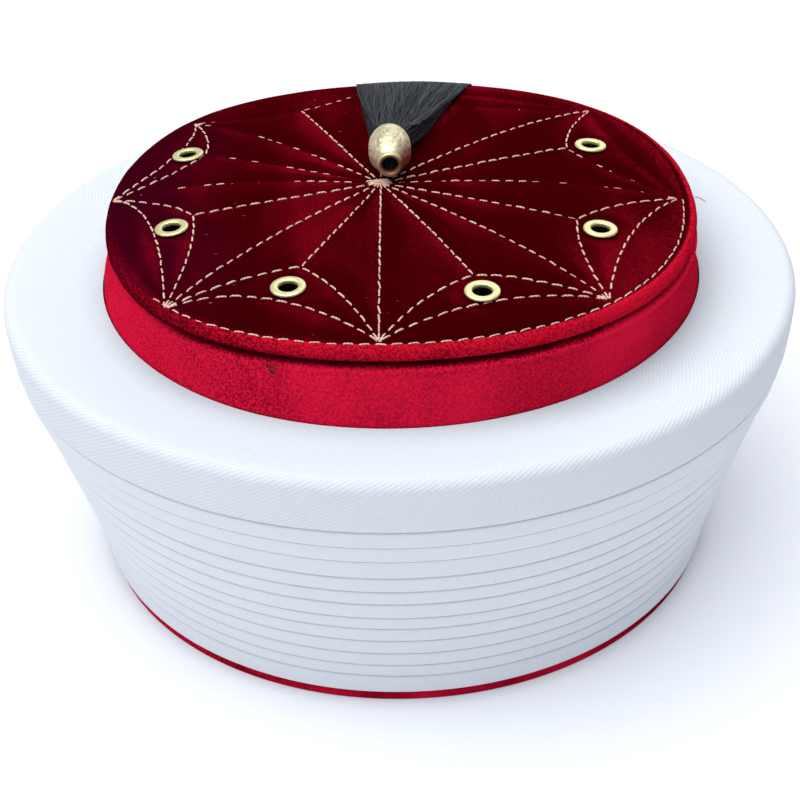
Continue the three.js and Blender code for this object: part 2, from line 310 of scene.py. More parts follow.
class NodeSheet:
    """Adds and links the nodes of one material or node group."""

    def __init__(self, tree: bpy.types.NodeTree) -> None:
        """Starts from an empty tree."""
        self.tree = tree
        tree.nodes.clear()

    def add(
        self, kind: str, inputs: dict[str | int, object] | None = None, **settings: object
    ) -> bpy.types.Node:
        """Adds one node.

        Args:
            kind: Node type, without its "ShaderNode" prefix.
            inputs: Values or sockets for the node's inputs, by name or place.
            settings: Properties of the node.

        Returns:
            The new node.
        """
        node = self.tree.nodes.new("ShaderNode" + kind)
        for name, value in settings.items():
            setattr(node, name, value)
        self.fill(node, inputs or {})
        return node

    def fill(self, node: bpy.types.Node, inputs: dict[str | int, object]) -> None:
        """Links sockets and sets values on a node's inputs, by name or place."""
        for key, value in inputs.items():
            if isinstance(value, bpy.types.NodeSocket):
                self.tree.links.new(value, node.inputs[key])
            else:
                node.inputs[key].default_value = value

    def math(self, operation: str, first: object, second: object = 0.0) -> bpy.types.NodeSocket:
        """Returns the result of one sum."""
        return self.add("Math", {0: first, 1: second}, operation=operation).outputs[0]

    def range(
        self, value: object, low: float, high: float, start: float, end: float
    ) -> bpy.types.NodeSocket:
        """Returns a value mapped softly from one range to another."""
        inputs = {"Value": value, "From Min": low, "From Max": high, "To Min": start, "To Max": end}
        return self.add("MapRange", inputs, interpolation_type="SMOOTHSTEP").outputs[0]

    def mix(self, share: object, first: object, second: object, kind: str = "MIX") -> bpy.types.NodeSocket:
        """Returns two colours mixed."""
        inputs = {0: share, 6: first, 7: second}
        return self.add("Mix", inputs, data_type="RGBA", blend_type=kind).outputs[2]

    def noise(self, coordinates: object, scale: float, detail: float = 2.0) -> bpy.types.NodeSocket:
        """Returns a noise pattern's value."""
        inputs = {"Vector": coordinates, "Scale": scale, "Detail": detail}
        return self.add("TexNoise", inputs).outputs[0]

    def stretched(self, coordinates: object, scale: tuple[float, float, float]) -> bpy.types.NodeSocket:
        """Returns coordinates scaled along each axis."""
        return self.add("Mapping", {"Vector": coordinates, "Scale": scale}).outputs[0]

    def attribute(self, name: str) -> bpy.types.NodeSocket:
        """Returns a number that was painted on the vertices."""
        return self.add("Attribute", attribute_name=name).outputs["Fac"]

    def finish(self, shader: dict[str, object], height: object, depth_mm: float) -> None:
        """Ends a material with its bump and its shader.

        Args:
            shader: Inputs of the Principled shader.
            height: Height pattern of the bump.
            depth_mm: Depth of the bump.
        """
        bump = self.add("Bump", {"Height": height, "Strength": 1.0, "Distance": depth_mm * MM})
        principled = self.add("BsdfPrincipled", {**shader, "Normal": bump.outputs[0]})
        self.add("OutputMaterial", {"Surface": principled.outputs[0]})


class Effect:
    """A shader node group that more than one finish uses."""

    name = ""
    inputs: dict[str, str] = {}
    outputs: tuple[str, ...] = ()

    @classmethod
    def group(cls) -> bpy.types.NodeTree:
        """Returns the effect's node group, built on first use."""
        known = bpy.data.node_groups.get(cls.name)
        if known:
            return known
        tree = bpy.data.node_groups.new(cls.name, "ShaderNodeTree")
        for name, kind in cls.inputs.items():
            tree.interface.new_socket(name, in_out="INPUT", socket_type="NodeSocket" + kind)
        for name in cls.outputs:
            tree.interface.new_socket(name, in_out="OUTPUT", socket_type="NodeSocketFloat")
        sheet = NodeSheet(tree)
        entry = tree.nodes.new("NodeGroupInput")
        values = cls.wire(sheet, {name: entry.outputs[name] for name in cls.inputs})
        leave = tree.nodes.new("NodeGroupOutput")
        for name, value in values.items():
            tree.links.new(value, leave.inputs[name])
        return tree

    @classmethod
    def wire(cls, sheet: NodeSheet, given: Sockets) -> Sockets:
        """Wires the effect and returns its outputs by name."""
        raise NotImplementedError

    @classmethod
    def place(cls, sheet: NodeSheet, inputs: dict[str, object]) -> Sockets:
        """Places the effect in a material and returns its outputs by name."""
        node = sheet.tree.nodes.new("ShaderNodeGroup")
        node.node_tree = cls.group()
        sheet.fill(node, inputs)
        return {name: node.outputs[name] for name in cls.outputs}


class VelvetPile(Effect):
    """Cut pile: fine specks, soft patches where the pile leans another way, and caught lint."""

    name = "velvet_pile"
    inputs = {"Coordinates": "Vector", "Specks per metre": "Float", "Patches per metre": "Float"}
    outputs = ("Specks", "Patches", "Lint")

    @classmethod
    def wire(cls, sheet: NodeSheet, given: Sockets) -> Sockets:
        """Wires the pile's noises and returns them by name."""
        place = given["Coordinates"]
        specks = sheet.noise(place, given["Specks per metre"], 2.0)
        brushed = sheet.stretched(place, (1.0, 0.35, 0.5))
        patches = sheet.noise(brushed, given["Patches per metre"], 3.0)
        cells = sheet.add("TexVoronoi", {"Vector": sheet.stretched(place, (1.0, 2.2, 1.0)), "Scale": 130.0})
        near = sheet.range(cells.outputs["Distance"], 0.03, 0.09, 1.0, 0.0)
        few = sheet.range(sheet.noise(place, 35.0), 0.56, 0.66, 0.0, 1.0)
        return {"Specks": specks, "Patches": patches, "Lint": sheet.math("MULTIPLY", near, few)}


class TwillWeave(Effect):
    """Twill: slanted ridges crossed by finer threads, with uneven yarn."""

    name = "twill_weave"
    inputs = {"Coordinates": "Vector", "Ridges per metre": "Float"}
    outputs = ("Height", "Slubs")

    @classmethod
    def wire(cls, sheet: NodeSheet, given: Sockets) -> Sockets:
        """Wires the ridges and the yarn and returns them by name."""
        parts = sheet.add("SeparateXYZ", {0: given["Coordinates"]})
        per_metre = given["Ridges per metre"]
        wander = sheet.math("MULTIPLY", sheet.noise(given["Coordinates"], 160.0), 0.0004)
        across = sheet.math("ADD", parts.outputs[0], wander)
        slanted = sheet.math("ADD", across, sheet.math("MULTIPLY", parts.outputs[1], 0.6))
        turns = sheet.math("MULTIPLY", sheet.math("MULTIPLY", slanted, per_metre), math.tau)
        ridges = sheet.math("SINE", turns)
        crossing = sheet.math("SUBTRACT", across, sheet.math("MULTIPLY", parts.outputs[1], 1.7))
        fine_turns = sheet.math("MULTIPLY", sheet.math("MULTIPLY", crossing, per_metre), 9.0)
        threads = sheet.math("MULTIPLY", sheet.math("SINE", fine_turns), 0.35)
        height = sheet.math("ADD", ridges, threads)
        slubs = sheet.noise(sheet.stretched(given["Coordinates"], (0.25, 3.0, 1.0)), 900.0, 3.0)
        return {"Height": height, "Slubs": slubs}


class HandledMetal(Effect):
    """Handled metal: cloudy tone and fine scratches."""

    name = "handled_metal"
    inputs = {"Coordinates": "Vector", "Clouds per metre": "Float"}
    outputs = ("Clouds", "Scratches")

    @classmethod
    def wire(cls, sheet: NodeSheet, given: Sockets) -> Sockets:
        """Wires the clouds and the scratches and returns them by name."""
        clouds = sheet.noise(given["Coordinates"], given["Clouds per metre"], 4.0)
        drawn = sheet.stretched(given["Coordinates"], (1.0, 0.15, 1.0))
        return {"Clouds": clouds, "Scratches": sheet.noise(drawn, 4000.0, 2.0)}


class ThreadTwist(Effect):
    """Plied thread: slanted plies along a tube whose UV runs along and round it."""

    name = "thread_twist"
    inputs = {"Coordinates": "Vector", "Twists per metre": "Float"}
    outputs = ("Plies",)

    @classmethod
    def wire(cls, sheet: NodeSheet, given: Sockets) -> Sockets:
        """Wires the plies and returns them by name."""
        parts = sheet.add("SeparateXYZ", {0: given["Coordinates"]})
        along = sheet.math("MULTIPLY", parts.outputs[0], given["Twists per metre"])
        turns = sheet.math("ADD", along, sheet.math("MULTIPLY", parts.outputs[1], 2.0))
        return {"Plies": sheet.math("SINE", sheet.math("MULTIPLY", turns, math.tau))}


# Finishes

@dataclass(frozen=True)
class Finish:
    """A finish with the slot that it belongs to."""

    name: str
    slot: Slot

    def material(self) -> bpy.types.Material:
        """Returns the finish's material, built on first use."""
        known = bpy.data.materials.get(self.name)
        if known:
            return known
        made = bpy.data.materials.new(self.name)
        made.use_nodes = True
        self.wire(NodeSheet(made.node_tree))
        return made

    def wire(self, sheet: NodeSheet) -> None:
        """Wires the nodes of the material."""
        raise NotImplementedError

    def dress(self, piece: bpy.types.Object) -> None:
        """Puts the finish on a piece."""
        piece.data.materials.clear()
        piece.data.materials.append(self.material())


@dataclass(frozen=True)
class Velvet(Finish):
    """Silk velvet: a deep tone where the pile looks at the viewer and a bright one where it lies over, mixed
    by a painted number that also holds painted highlights and painted shade.
    """

    deep: Colour = (60, 0, 4)
    bright: Colour = (214, 20, 48)
    lining: Colour = (96, 22, 30)
    cool: Colour = (58, 0, 24)
    bounce: Colour = (98, 76, 100)
    lint: Colour = (206, 120, 128)
    patch_share: float = 0.2
    speck_share: float = 0.3
    grain_share: float = 0.06
    grain_per_metre: float = 1500.0
    specks_per_metre: float = 1500.0
    patches_per_metre: float = 30.0
    sheen: float = 0.5
    pile_depth: float = 0.35

    def wire(self, sheet: NodeSheet) -> None:
        """Wires the pile's lean with its painted highlights and painted shade, the pile, the lint and the
        lining.
        """
        place = sheet.add("TexCoord").outputs["Object"]
        pile = VelvetPile.place(sheet, {
            "Coordinates": place,
            "Specks per metre": self.specks_per_metre,
            "Patches per metre": self.patches_per_metre,
        })
        patches = sheet.range(pile["Patches"], 0.3, 0.7, -self.patch_share, self.patch_share)
        specks = sheet.range(pile["Specks"], 0.38, 0.66, -self.speck_share, self.speck_share)
        # Painted per vertex: the pile's lean together with painted highlights and painted shade.
        nap_and_painted_light = sheet.attribute("nap_and_painted_light")
        rough = sheet.math("SUBTRACT", sheet.math("ADD", nap_and_painted_light, 0.2), sheet.attribute("sleek"))
        brushed = sheet.math("ADD", sheet.math("ADD", nap_and_painted_light, patches), sheet.math("MULTIPLY", specks, rough))
        cloth = sheet.add("UVMap", uv_map="cloth").outputs[0]
        weave = TwillWeave.place(sheet, {"Coordinates": cloth, "Ridges per metre": self.grain_per_metre})
        grain = sheet.math("MULTIPLY", weave["Height"], self.grain_share)
        lean = sheet.math("ADD", brushed, sheet.math("MULTIPLY", grain, nap_and_painted_light))
        deep = sheet.mix(sheet.attribute("cool"), tint(self.deep), tint(self.cool))
        tone = sheet.mix(sheet.range(lean, 0.0, 1.0, 0.0, 1.0), deep, tint(self.bright))
        linty = sheet.mix(sheet.math("MULTIPLY", pile["Lint"], 0.7), tone, tint(self.lint))
        colour = sheet.mix(sheet.attribute("lining"), linty, tint(self.lining))
        reflected = sheet.add("LightPath").outputs["Is Diffuse Ray"]
        shader = {
            "Base Color": sheet.mix(reflected, colour, tint(self.bounce)),
            "Roughness": 0.8,
            "Specular IOR Level": 0.0,
            "Sheen Weight": self.sheen,
            "Sheen Roughness": 0.3,
            "Sheen Tint": tint(self.bright),
        }
        sheet.finish(shader, pile["Specks"], self.pile_depth)


@dataclass(frozen=True)
class TurbanCotton(Finish):
    """White cotton, a little blue in its shade, with painted shade deep in its creases."""

    light: Colour = (239, 242, 246)
    shade: Colour = (222, 227, 238)
    # Grey of the painted shade in the creases.
    crease_shade: Colour = (128, 134, 152)
    ridges_per_metre: float = 850.0
    ridge_share: float = 0.6
    ridge_depth: float = 0.03

    def wire(self, sheet: NodeSheet) -> None:
        """Wires the weave over the cloth's own UV map."""
        laid = sheet.add("UVMap", uv_map="cloth").outputs[0]
        place = sheet.add("Mapping", {"Vector": laid, "Rotation": (0.0, 0.0, math.pi / 2)}).outputs[0]
        weave = TwillWeave.place(sheet, {"Coordinates": place, "Ridges per metre": self.ridges_per_metre})
        share = sheet.range(weave["Height"], -1.2, 1.2, self.ridge_share, 0.0)
        yarn = sheet.math("ADD", share, sheet.range(weave["Slubs"], 0.35, 0.75, 0.0, 0.25))
        cloth = sheet.mix(yarn, tint(self.light), tint(self.shade))
        shader = {
            # Painted shade: grey in the creases between the folds.
            "Base Color": sheet.mix(sheet.attribute("crease_shade"), cloth, tint(self.crease_shade)),
            "Roughness": 0.9,
            "Specular IOR Level": 0.2,
            "Sheen Weight": 0.15,
            "Sheen Roughness": 0.5,
        }
        sheet.finish(shader, weave["Height"], self.ridge_depth)


@dataclass(frozen=True)
class BrightMetal(Finish):
    """Plated metal with a clear tone on its high places and a duller one in its hollows, laid by a painted
    number that holds tarnish and painted shade.
    """

    high: Colour = (252, 240, 176)
    low: Colour = (214, 184, 104)
    polish: float = 0.22
    dull: float = 0.42
    clouds_per_metre: float = 600.0
    cloud_share: float = 0.2
    metallic: float = 0.6

    def wire(self, sheet: NodeSheet) -> None:
        """Wires the tone from the painted tarnish and shade and from the handling."""
        place = sheet.add("TexCoord").outputs["Object"]
        metal = HandledMetal.place(sheet, {"Coordinates": place, "Clouds per metre": self.clouds_per_metre})
        clouds = sheet.range(metal["Clouds"], 0.35, 0.7, 0.0, self.cloud_share)
        # Painted number: tarnish in hollows and painted shade, with the handling's clouds.
        tarnish_and_shade = sheet.math("ADD", sheet.attribute("tarnish_and_shade"), clouds)
        shader = {
            "Base Color": sheet.mix(tarnish_and_shade, tint(self.high), tint(self.low)),
            "Metallic": self.metallic,
            "Roughness": sheet.range(metal["Clouds"], 0.3, 0.7, self.polish, self.dull),
        }
        sheet.finish(shader, metal["Scratches"], 0.01)


@dataclass(frozen=True)
class Thread(Finish):
    """Twisted thread whose tone changes from strand to strand."""

    dark: Colour = (3, 3, 5)
    light: Colour = (84, 86, 97)
    roughness: float = 0.5
    sheen: float = 0.02
    twists_per_metre: float = 900.0
    ply_depth: float = 0.06

    def wire(self, sheet: NodeSheet) -> None:
        """Wires the plies and the strands' tones."""
        place = sheet.add("UVMap", uv_map="thread").outputs[0]
        plies = ThreadTwist.place(sheet, {"Coordinates": place, "Twists per metre": self.twists_per_metre})
        lit = sheet.range(plies["Plies"], -1.0, 1.0, -0.2, 0.2)
        tone = sheet.math("ADD", sheet.attribute("shade"), lit)
        shader = {
            "Base Color": sheet.mix(tone, tint(self.dark), tint(self.light)),
            "Roughness": self.roughness,
            "Specular IOR Level": 0.2,
            "Sheen Weight": self.sheen,
            "Sheen Roughness": 0.4,
        }
        sheet.finish(shader, plies["Plies"], self.ply_depth)


@dataclass(frozen=True)
class PaleFloor:
    """Plain white studio floor."""

    name: str = "studio_floor_paint"
    paint: Colour = (247, 247, 249)
    shade: Colour = (236, 237, 240)
    glow: Colour = (236, 241, 255)

    def material(self) -> bpy.types.Material:
        """Returns the floor's material."""
        made = bpy.data.materials.new(self.name)
        made.use_nodes = True
        sheet = NodeSheet(made.node_tree)
        place = sheet.add("TexCoord").outputs["Object"]
        grain = sheet.noise(place, 300.0)
        colour = sheet.mix(sheet.range(grain, 0.3, 0.7, 0.0, 0.1), tint(self.paint), tint(self.shade))
        shader = {
            "Base Color": colour,
            "Roughness": 0.9,
            "Specular IOR Level": 0.1,
            "Emission Color": tint(self.glow),
            "Emission Strength": 0.15,
        }
        sheet.finish(shader, grain, 0.01)
        return made


WALL_VELVET = Velvet("crimson_velvet", Slot.VELVET, deep=(104, 0, 20), bright=(246, 28, 66))
TOP_VELVET = Velvet(
    "wine_velvet", Slot.VELVET_TOP, patch_share=0.14, grain_share=0.13, grain_per_metre=1100.0, sheen=0.0
)
COVER_TWILL = TurbanCotton("white_cover_twill", Slot.TURBAN)
FOLD_COTTON = TurbanCotton(
    "white_wound_cotton", Slot.TURBAN, ridges_per_metre=2300.0, ridge_share=0.3, ridge_depth=0.012
)
# The eyelets' near-black low tone is painted shade in the bore and under the flange.
EYELET_BRASS = BrightMetal(
    "pale_eyelet_brass", Slot.BRASS, (255, 247, 184), (22, 17, 6), 0.3, 0.42, cloud_share=0.0
)
BEAD_GILT = BrightMetal(
    "old_bead_gilt", Slot.GILT, (255, 245, 202), (168, 86, 44), 0.36, 0.5, 900.0, 0.08, 0.7
)
TASSEL_THREAD = Thread("charcoal_viscose", Slot.THREAD)
GOLD_THREAD = Thread(
    "gold_stitch_thread", Slot.GILT, (244, 150, 132), (255, 226, 204), 0.5, 0.05, 1100.0, 0.08
)
LINT_FIBRE = Thread("loose_fibre", Slot.VELVET, (34, 6, 14), (150, 132, 136), 0.7, 0.0, 600.0, 0.02)


def enlist(piece: bpy.types.Object, finish: Finish, *nodes: str) -> bpy.types.Object:
    """Dresses a finished piece, lets it ride and reports it.

    Args:
        piece: The finished piece.
        finish: Its finish.
        nodes: The CAD nodes that it stands for, if any.

    Returns:
        The same piece.
    """
    finish.dress(piece)
    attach(piece, BODY)
    if nodes:
        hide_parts(*nodes)
    stands_for = ", ".join(nodes) or "nothing"
    LOG.info("%s: %d triangles, stands for %s", piece.name, triangles_in(piece), stands_for)
    return piece


# Crown

@dataclass
class CrownForm:
    """The fez's own form: a tapered wall and a top that sits forward, leans back and is slightly square."""

    base_radius: float = 94.0
    band_radius: float = 87.5
    band_height: float = 86.8
    top_radius: float = 85.6
    wall_height: float = 104.0
    form_start: float = 89.5
    felt: float = 2.4
    top_forward: float = 0.8
    top_lean_deg: float = 0.6
    squareness: float = 0.016
    left_tuck: float = 0.024
    left_press: float = 1.2
    back_sag: float = 0.5
    dome_height: float = 112.8
    dome_power: float = 4.0
    edge_height: float = 109.2
    stitch_radius: float = 84.2

    def radius(self, height: float) -> float:
        """Returns the wall's outer radius at a height."""
        heights = (0.0, self.band_height, self.wall_height)
        return float(np.interp(height, heights, (self.base_radius, self.band_radius, self.top_radius)))

    def square_factor(self, angle: np.ndarray) -> np.ndarray:
        """Returns how far the squared top is drawn in or out at an angle, its left side a little more."""
        left = smooth_step(0.62, 1.0, -np.cos(angle))
        return 1.0 - self.squareness * np.cos(4.0 * angle) - self.left_tuck * left

    def drop(self, back: np.ndarray) -> np.ndarray:
        """Returns how far the leaning top lies lower at a distance behind its middle."""
        lean = back * math.tan(math.radians(self.top_lean_deg))
        return lean + self.back_sag * smooth_step(30.0, 86.0, back)

    def left_pull(self, angle: np.ndarray) -> np.ndarray:
        """Returns how far the wall and the cloth round it are pressed in on the left."""
        return self.left_press * smooth_step(0.4, 1.0, -np.cos(angle))

    def dome(self, radius: np.ndarray) -> np.ndarray:
        """Returns the height of the dome at a radius, before the lean."""
        fall = self.dome_height - self.edge_height
        return self.dome_height - fall * (np.asarray(radius) / self.stitch_radius) ** self.dome_power

    def top_height(self, x: np.ndarray, y: np.ndarray) -> np.ndarray:
        """Returns the height of the finished top at plan points."""
        back = y + self.top_forward
        radius = np.hypot(x, back) / self.square_factor(np.arctan2(back, x))
        return self.dome(radius) - self.drop(back)

    def top_normal(self, x: float, y: float) -> Vector:
        """Returns the upward direction of the finished top at a plan point."""
        step = 0.5
        slope_x = (self.top_height(x + step, y) - self.top_height(x - step, y)) / (2 * step)
        slope_y = (self.top_height(x, y + step) - self.top_height(x, y - step)) / (2 * step)
        return Vector((-slope_x, -slope_y, 1.0)).normalized()

    def ring(self, angle: np.ndarray, radius: np.ndarray) -> np.ndarray:
        """Returns plan points on the squared top, as rows of x and y."""
        reach = radius * self.square_factor(angle)
        return np.stack((reach * np.cos(angle), reach * np.sin(angle) - self.top_forward), axis=-1)

    def sewn(self, points: np.ndarray) -> np.ndarray:
        """Gives points of a turned piece the form of the sewn crown above the turban."""
        x, y, z = points.T
        share = smooth_step(self.form_start, self.wall_height, z)
        factor = blend(1.0, self.square_factor(np.arctan2(y, x)), share)
        x, y = x * factor, y * factor
        z = z - self.drop(y) * share
        return np.stack((x, y - self.top_forward * share, z), axis=1)


class Seam(Enum):
    """Kinds of stitched lines on the top."""

    RAY = "from the middle to a rim point"
    SPOKE = "from the middle to an inner point"
    EDGE_BACK = "from an inner point to the rim point of its own sector"
    EDGE_ON = "from an inner point to the next rim point"
    ARC = "from a rim point to the next, outside the eyelet"
    RING = "round the edge"


@dataclass
class StarStitching:
    """Gold running stitches: an eight-pointed star, arcs outside the eyelets and a ring at the edge."""

    crown: CrownForm
    centre: tuple[float, float] = (-4.4, -0.3)
    rim_points: tuple[tuple[float, float], ...] = (
        (266.2, 83.2),
        (226.0, 87.4),
        (179.5, 82.4),
        (139.5, 82.5),
        (92.0, 82.4),
        (41.5, 82.5),
        (353.2, 80.6),
        (309.2, 84.8),
    )
    inner_points: tuple[tuple[float, float], ...] = (
        (242.0, 54.9),
        (195.2, 59.2),
        (156.0, 62.5),
        (117.3, 63.9),
        (68.0, 61.0),
        (22.7, 55.5),
        (333.0, 55.6),
        (289.3, 58.5),
    )
    arc_reach: float = 71.5
    ray_bow: float = 3.5
    edge_bow: float = 3.0
    stitch_share: float = 0.76
    stitch_pitch: float = 4.1
    ray_pitch: float = 3.8
    thread_radius: float = 0.26
    ring_thread_radius: float = 0.21
    thread_lift: float = 0.2
    front_ray_share: float = 0.96
    tack_stitches: int = 16
    sunk: dict[tuple[Seam, int], float] = field(default_factory=lambda: {
        (Seam.RAY, 2): 0.45,
        (Seam.SPOKE, 2): 0.5,
        (Seam.RAY, 3): 0.45,
        (Seam.EDGE_BACK, 3): 0.6,
        (Seam.EDGE_ON, 3): 0.3,
        (Seam.ARC, 3): 0.8,
        (Seam.SPOKE, 4): 0.7,
        (Seam.EDGE_BACK, 4): 0.8,
        (Seam.EDGE_ON, 4): 0.8,
        (Seam.ARC, 4): 0.8,
        (Seam.RAY, 5): 0.12,
        (Seam.EDGE_ON, 5): 0.45,
        (Seam.ARC, 5): 0.8,
        (Seam.RAY, 6): 0.38,
        (Seam.SPOKE, 6): 0.2,
        (Seam.RAY, 7): 0.2,
    })
    ring_shown_deg: tuple[float, float] = (222.0, 354.0)
    ring_turns_deg: tuple[float, ...] = (0.0, 30.0, 200.0, 232.0, 252.0, 285.0, 309.0, 330.0, 350.0, 360.0)
    ring_shifts: tuple[float, ...] = (-1.4, 0.0, 0.0, 0.8, 0.8, 0.4, 0.0, -0.8, -1.4, -1.4)
    valley: float = 0.25
    sample_step: float = 0.5

    def curve(self, start: np.ndarray, through: np.ndarray, end: np.ndarray) -> np.ndarray:
        """Returns a curved plan line from start over a middle point to end, sampled evenly enough."""
        control = 2 * through - (start + end) / 2
        count = max(4, int(np.linalg.norm(end - start) / self.sample_step))
        t = np.linspace(0, 1, count)[:, None]
        return (1 - t) ** 2 * start + 2 * t * (1 - t) * control + t**2 * end

    def bowed(self, start: np.ndarray, end: np.ndarray, towards: np.ndarray, bow: float) -> np.ndarray:
        """Returns a plan line whose middle is drawn a little towards a point."""
        middle = (start + end) / 2
        pull = towards - middle
        return self.curve(start, middle + bow * pull / (np.linalg.norm(pull) + 1e-6), end)

    def lines(self) -> list[tuple[Seam, int, np.ndarray]]:
        """Returns the stitched lines: kind, number of the sector and plan points as rows of x and y."""
        centre = np.array(self.centre)
        rim = [polar(*point) for point in self.rim_points]
        inner = [polar(*point) for point in self.inner_points]
        back = np.array((0.0, 400.0))
        made = []
        for i, point in enumerate(rim):
            after = rim[(i + 1) % len(rim)]
            sideways = abs(point[0] - centre[0]) / self.crown.stitch_radius
            outside = inner[i] / np.linalg.norm(inner[i]) * self.arc_reach
            made += [
                (Seam.RAY, i, self.bowed(centre, point, back, self.ray_bow * sideways)),
                (Seam.SPOKE, i, self.bowed(centre, inner[i], point, 0.6)),
                (Seam.EDGE_BACK, i, self.bowed(inner[i], point, centre, self.edge_bow)),
                (Seam.EDGE_ON, i, self.bowed(inner[i], after, centre, self.edge_bow)),
                (Seam.ARC, i, self.curve(point, outside, after)),
            ]
        turn = np.linspace(0, math.tau, 1000)
        shift = np.interp(np.degrees(turn), self.ring_turns_deg, self.ring_shifts)
        made.append((Seam.RING, 0, self.crown.ring(turn, self.crown.stitch_radius + shift)))
        return made

    def tree(self) -> KDTree:
        """Returns a search tree of the stitched lines' plan points."""
        points = np.concatenate([line for _, _, line in self.lines()])
        tree = KDTree(len(points))
        for i, (x, y) in enumerate(points):
            tree.insert((x, y, 0.0), i)
        tree.balance()
        return tree

    def stitch(self, middle: np.ndarray, heading: float, length: float, lift: float) -> np.ndarray:
        """Returns the points of one stitch that dips into the velvet at both ends.

        Args:
            middle: Plan point of its middle.
            heading: Its direction in plan, in radians.
            length: Its length.
            lift: Height of its middle over the velvet's valley.

        Returns:
            Seven points.
        """
        t = np.array((-0.5, -0.44, -0.3, 0.0, 0.3, 0.44, 0.5))
        x = middle[0] + t * length * math.cos(heading)
        y = middle[1] + t * length * math.sin(heading)
        dip = lift - 0.55 * np.abs(2 * t) ** 8
        return np.stack((x, y, self.crown.top_height(x, y) - self.valley + dip), axis=1)

    def build(self) -> bpy.types.Object:
        """Makes all stitches as one piece and dresses it."""
        draw = np.random.default_rng(11)
        paths, thin = [], []
        for seam, sector, line in self.lines():
            run = np.concatenate(([0.0], np.cumsum(np.linalg.norm(np.diff(line, axis=0), axis=1))))
            pitch = self.ray_pitch if seam in (Seam.RAY, Seam.SPOKE) else self.stitch_pitch
            count = max(2, round(run[-1] / pitch))
            share = self.front_ray_share if (seam, sector) == (Seam.RAY, 0) else self.stitch_share
            for place in (np.arange(count) + 0.5) * run[-1] / count:
                at = place + draw.normal(0, 0.12)
                behind, middle, ahead = (
                    np.array([np.interp(at + step, run, line[:, axis]) for axis in (0, 1)])
                    for step in (-0.8, 0.0, 0.8)
                )
                heading = math.atan2(*(ahead - behind)[::-1]) + draw.normal(0.05, 0.06)
                length = share * run[-1] / count * draw.uniform(0.85, 1.05)
                lift = self.thread_lift + draw.normal(0, 0.07)
                lift -= self.sunk.get((seam, sector), 0.0) * draw.uniform(0.5, 1.1)
                if seam is Seam.RING:
                    turn = math.degrees(math.atan2(middle[1], middle[0])) % 360
                    lift += 0.06 if self.ring_shown_deg[0] < turn < self.ring_shown_deg[1] else -1.0
                paths.append(self.stitch(middle, heading, length, lift))
                thin.append(seam is Seam.RING)
        for _ in range(self.tack_stitches):
            middle = np.array(self.centre) + draw.normal(0, (0.5, 0.55))
            lift = self.thread_lift + draw.uniform(0.1, 0.7)
            paths.append(self.stitch(middle, draw.normal(0, 0.09), draw.uniform(4.6, 6.6), lift))
            thin.append(False)
        paths = np.array(paths)
        taper = np.array((0.55, 0.85, 1.0, 1.0, 1.0, 0.85, 0.55))
        thickness = np.where(thin, self.ring_thread_radius, self.thread_radius)[:, None]
        radii = thickness * taper * draw.uniform(0.88, 1.12, (len(paths), 1))
        shades = draw.uniform(0.45, 1.0, len(paths))
        shades[-self.tack_stitches:] = 1.0
        piece = tube_mesh("star_stitching", paths, radii, 6, shades)
        return enlist(piece, GOLD_THREAD)


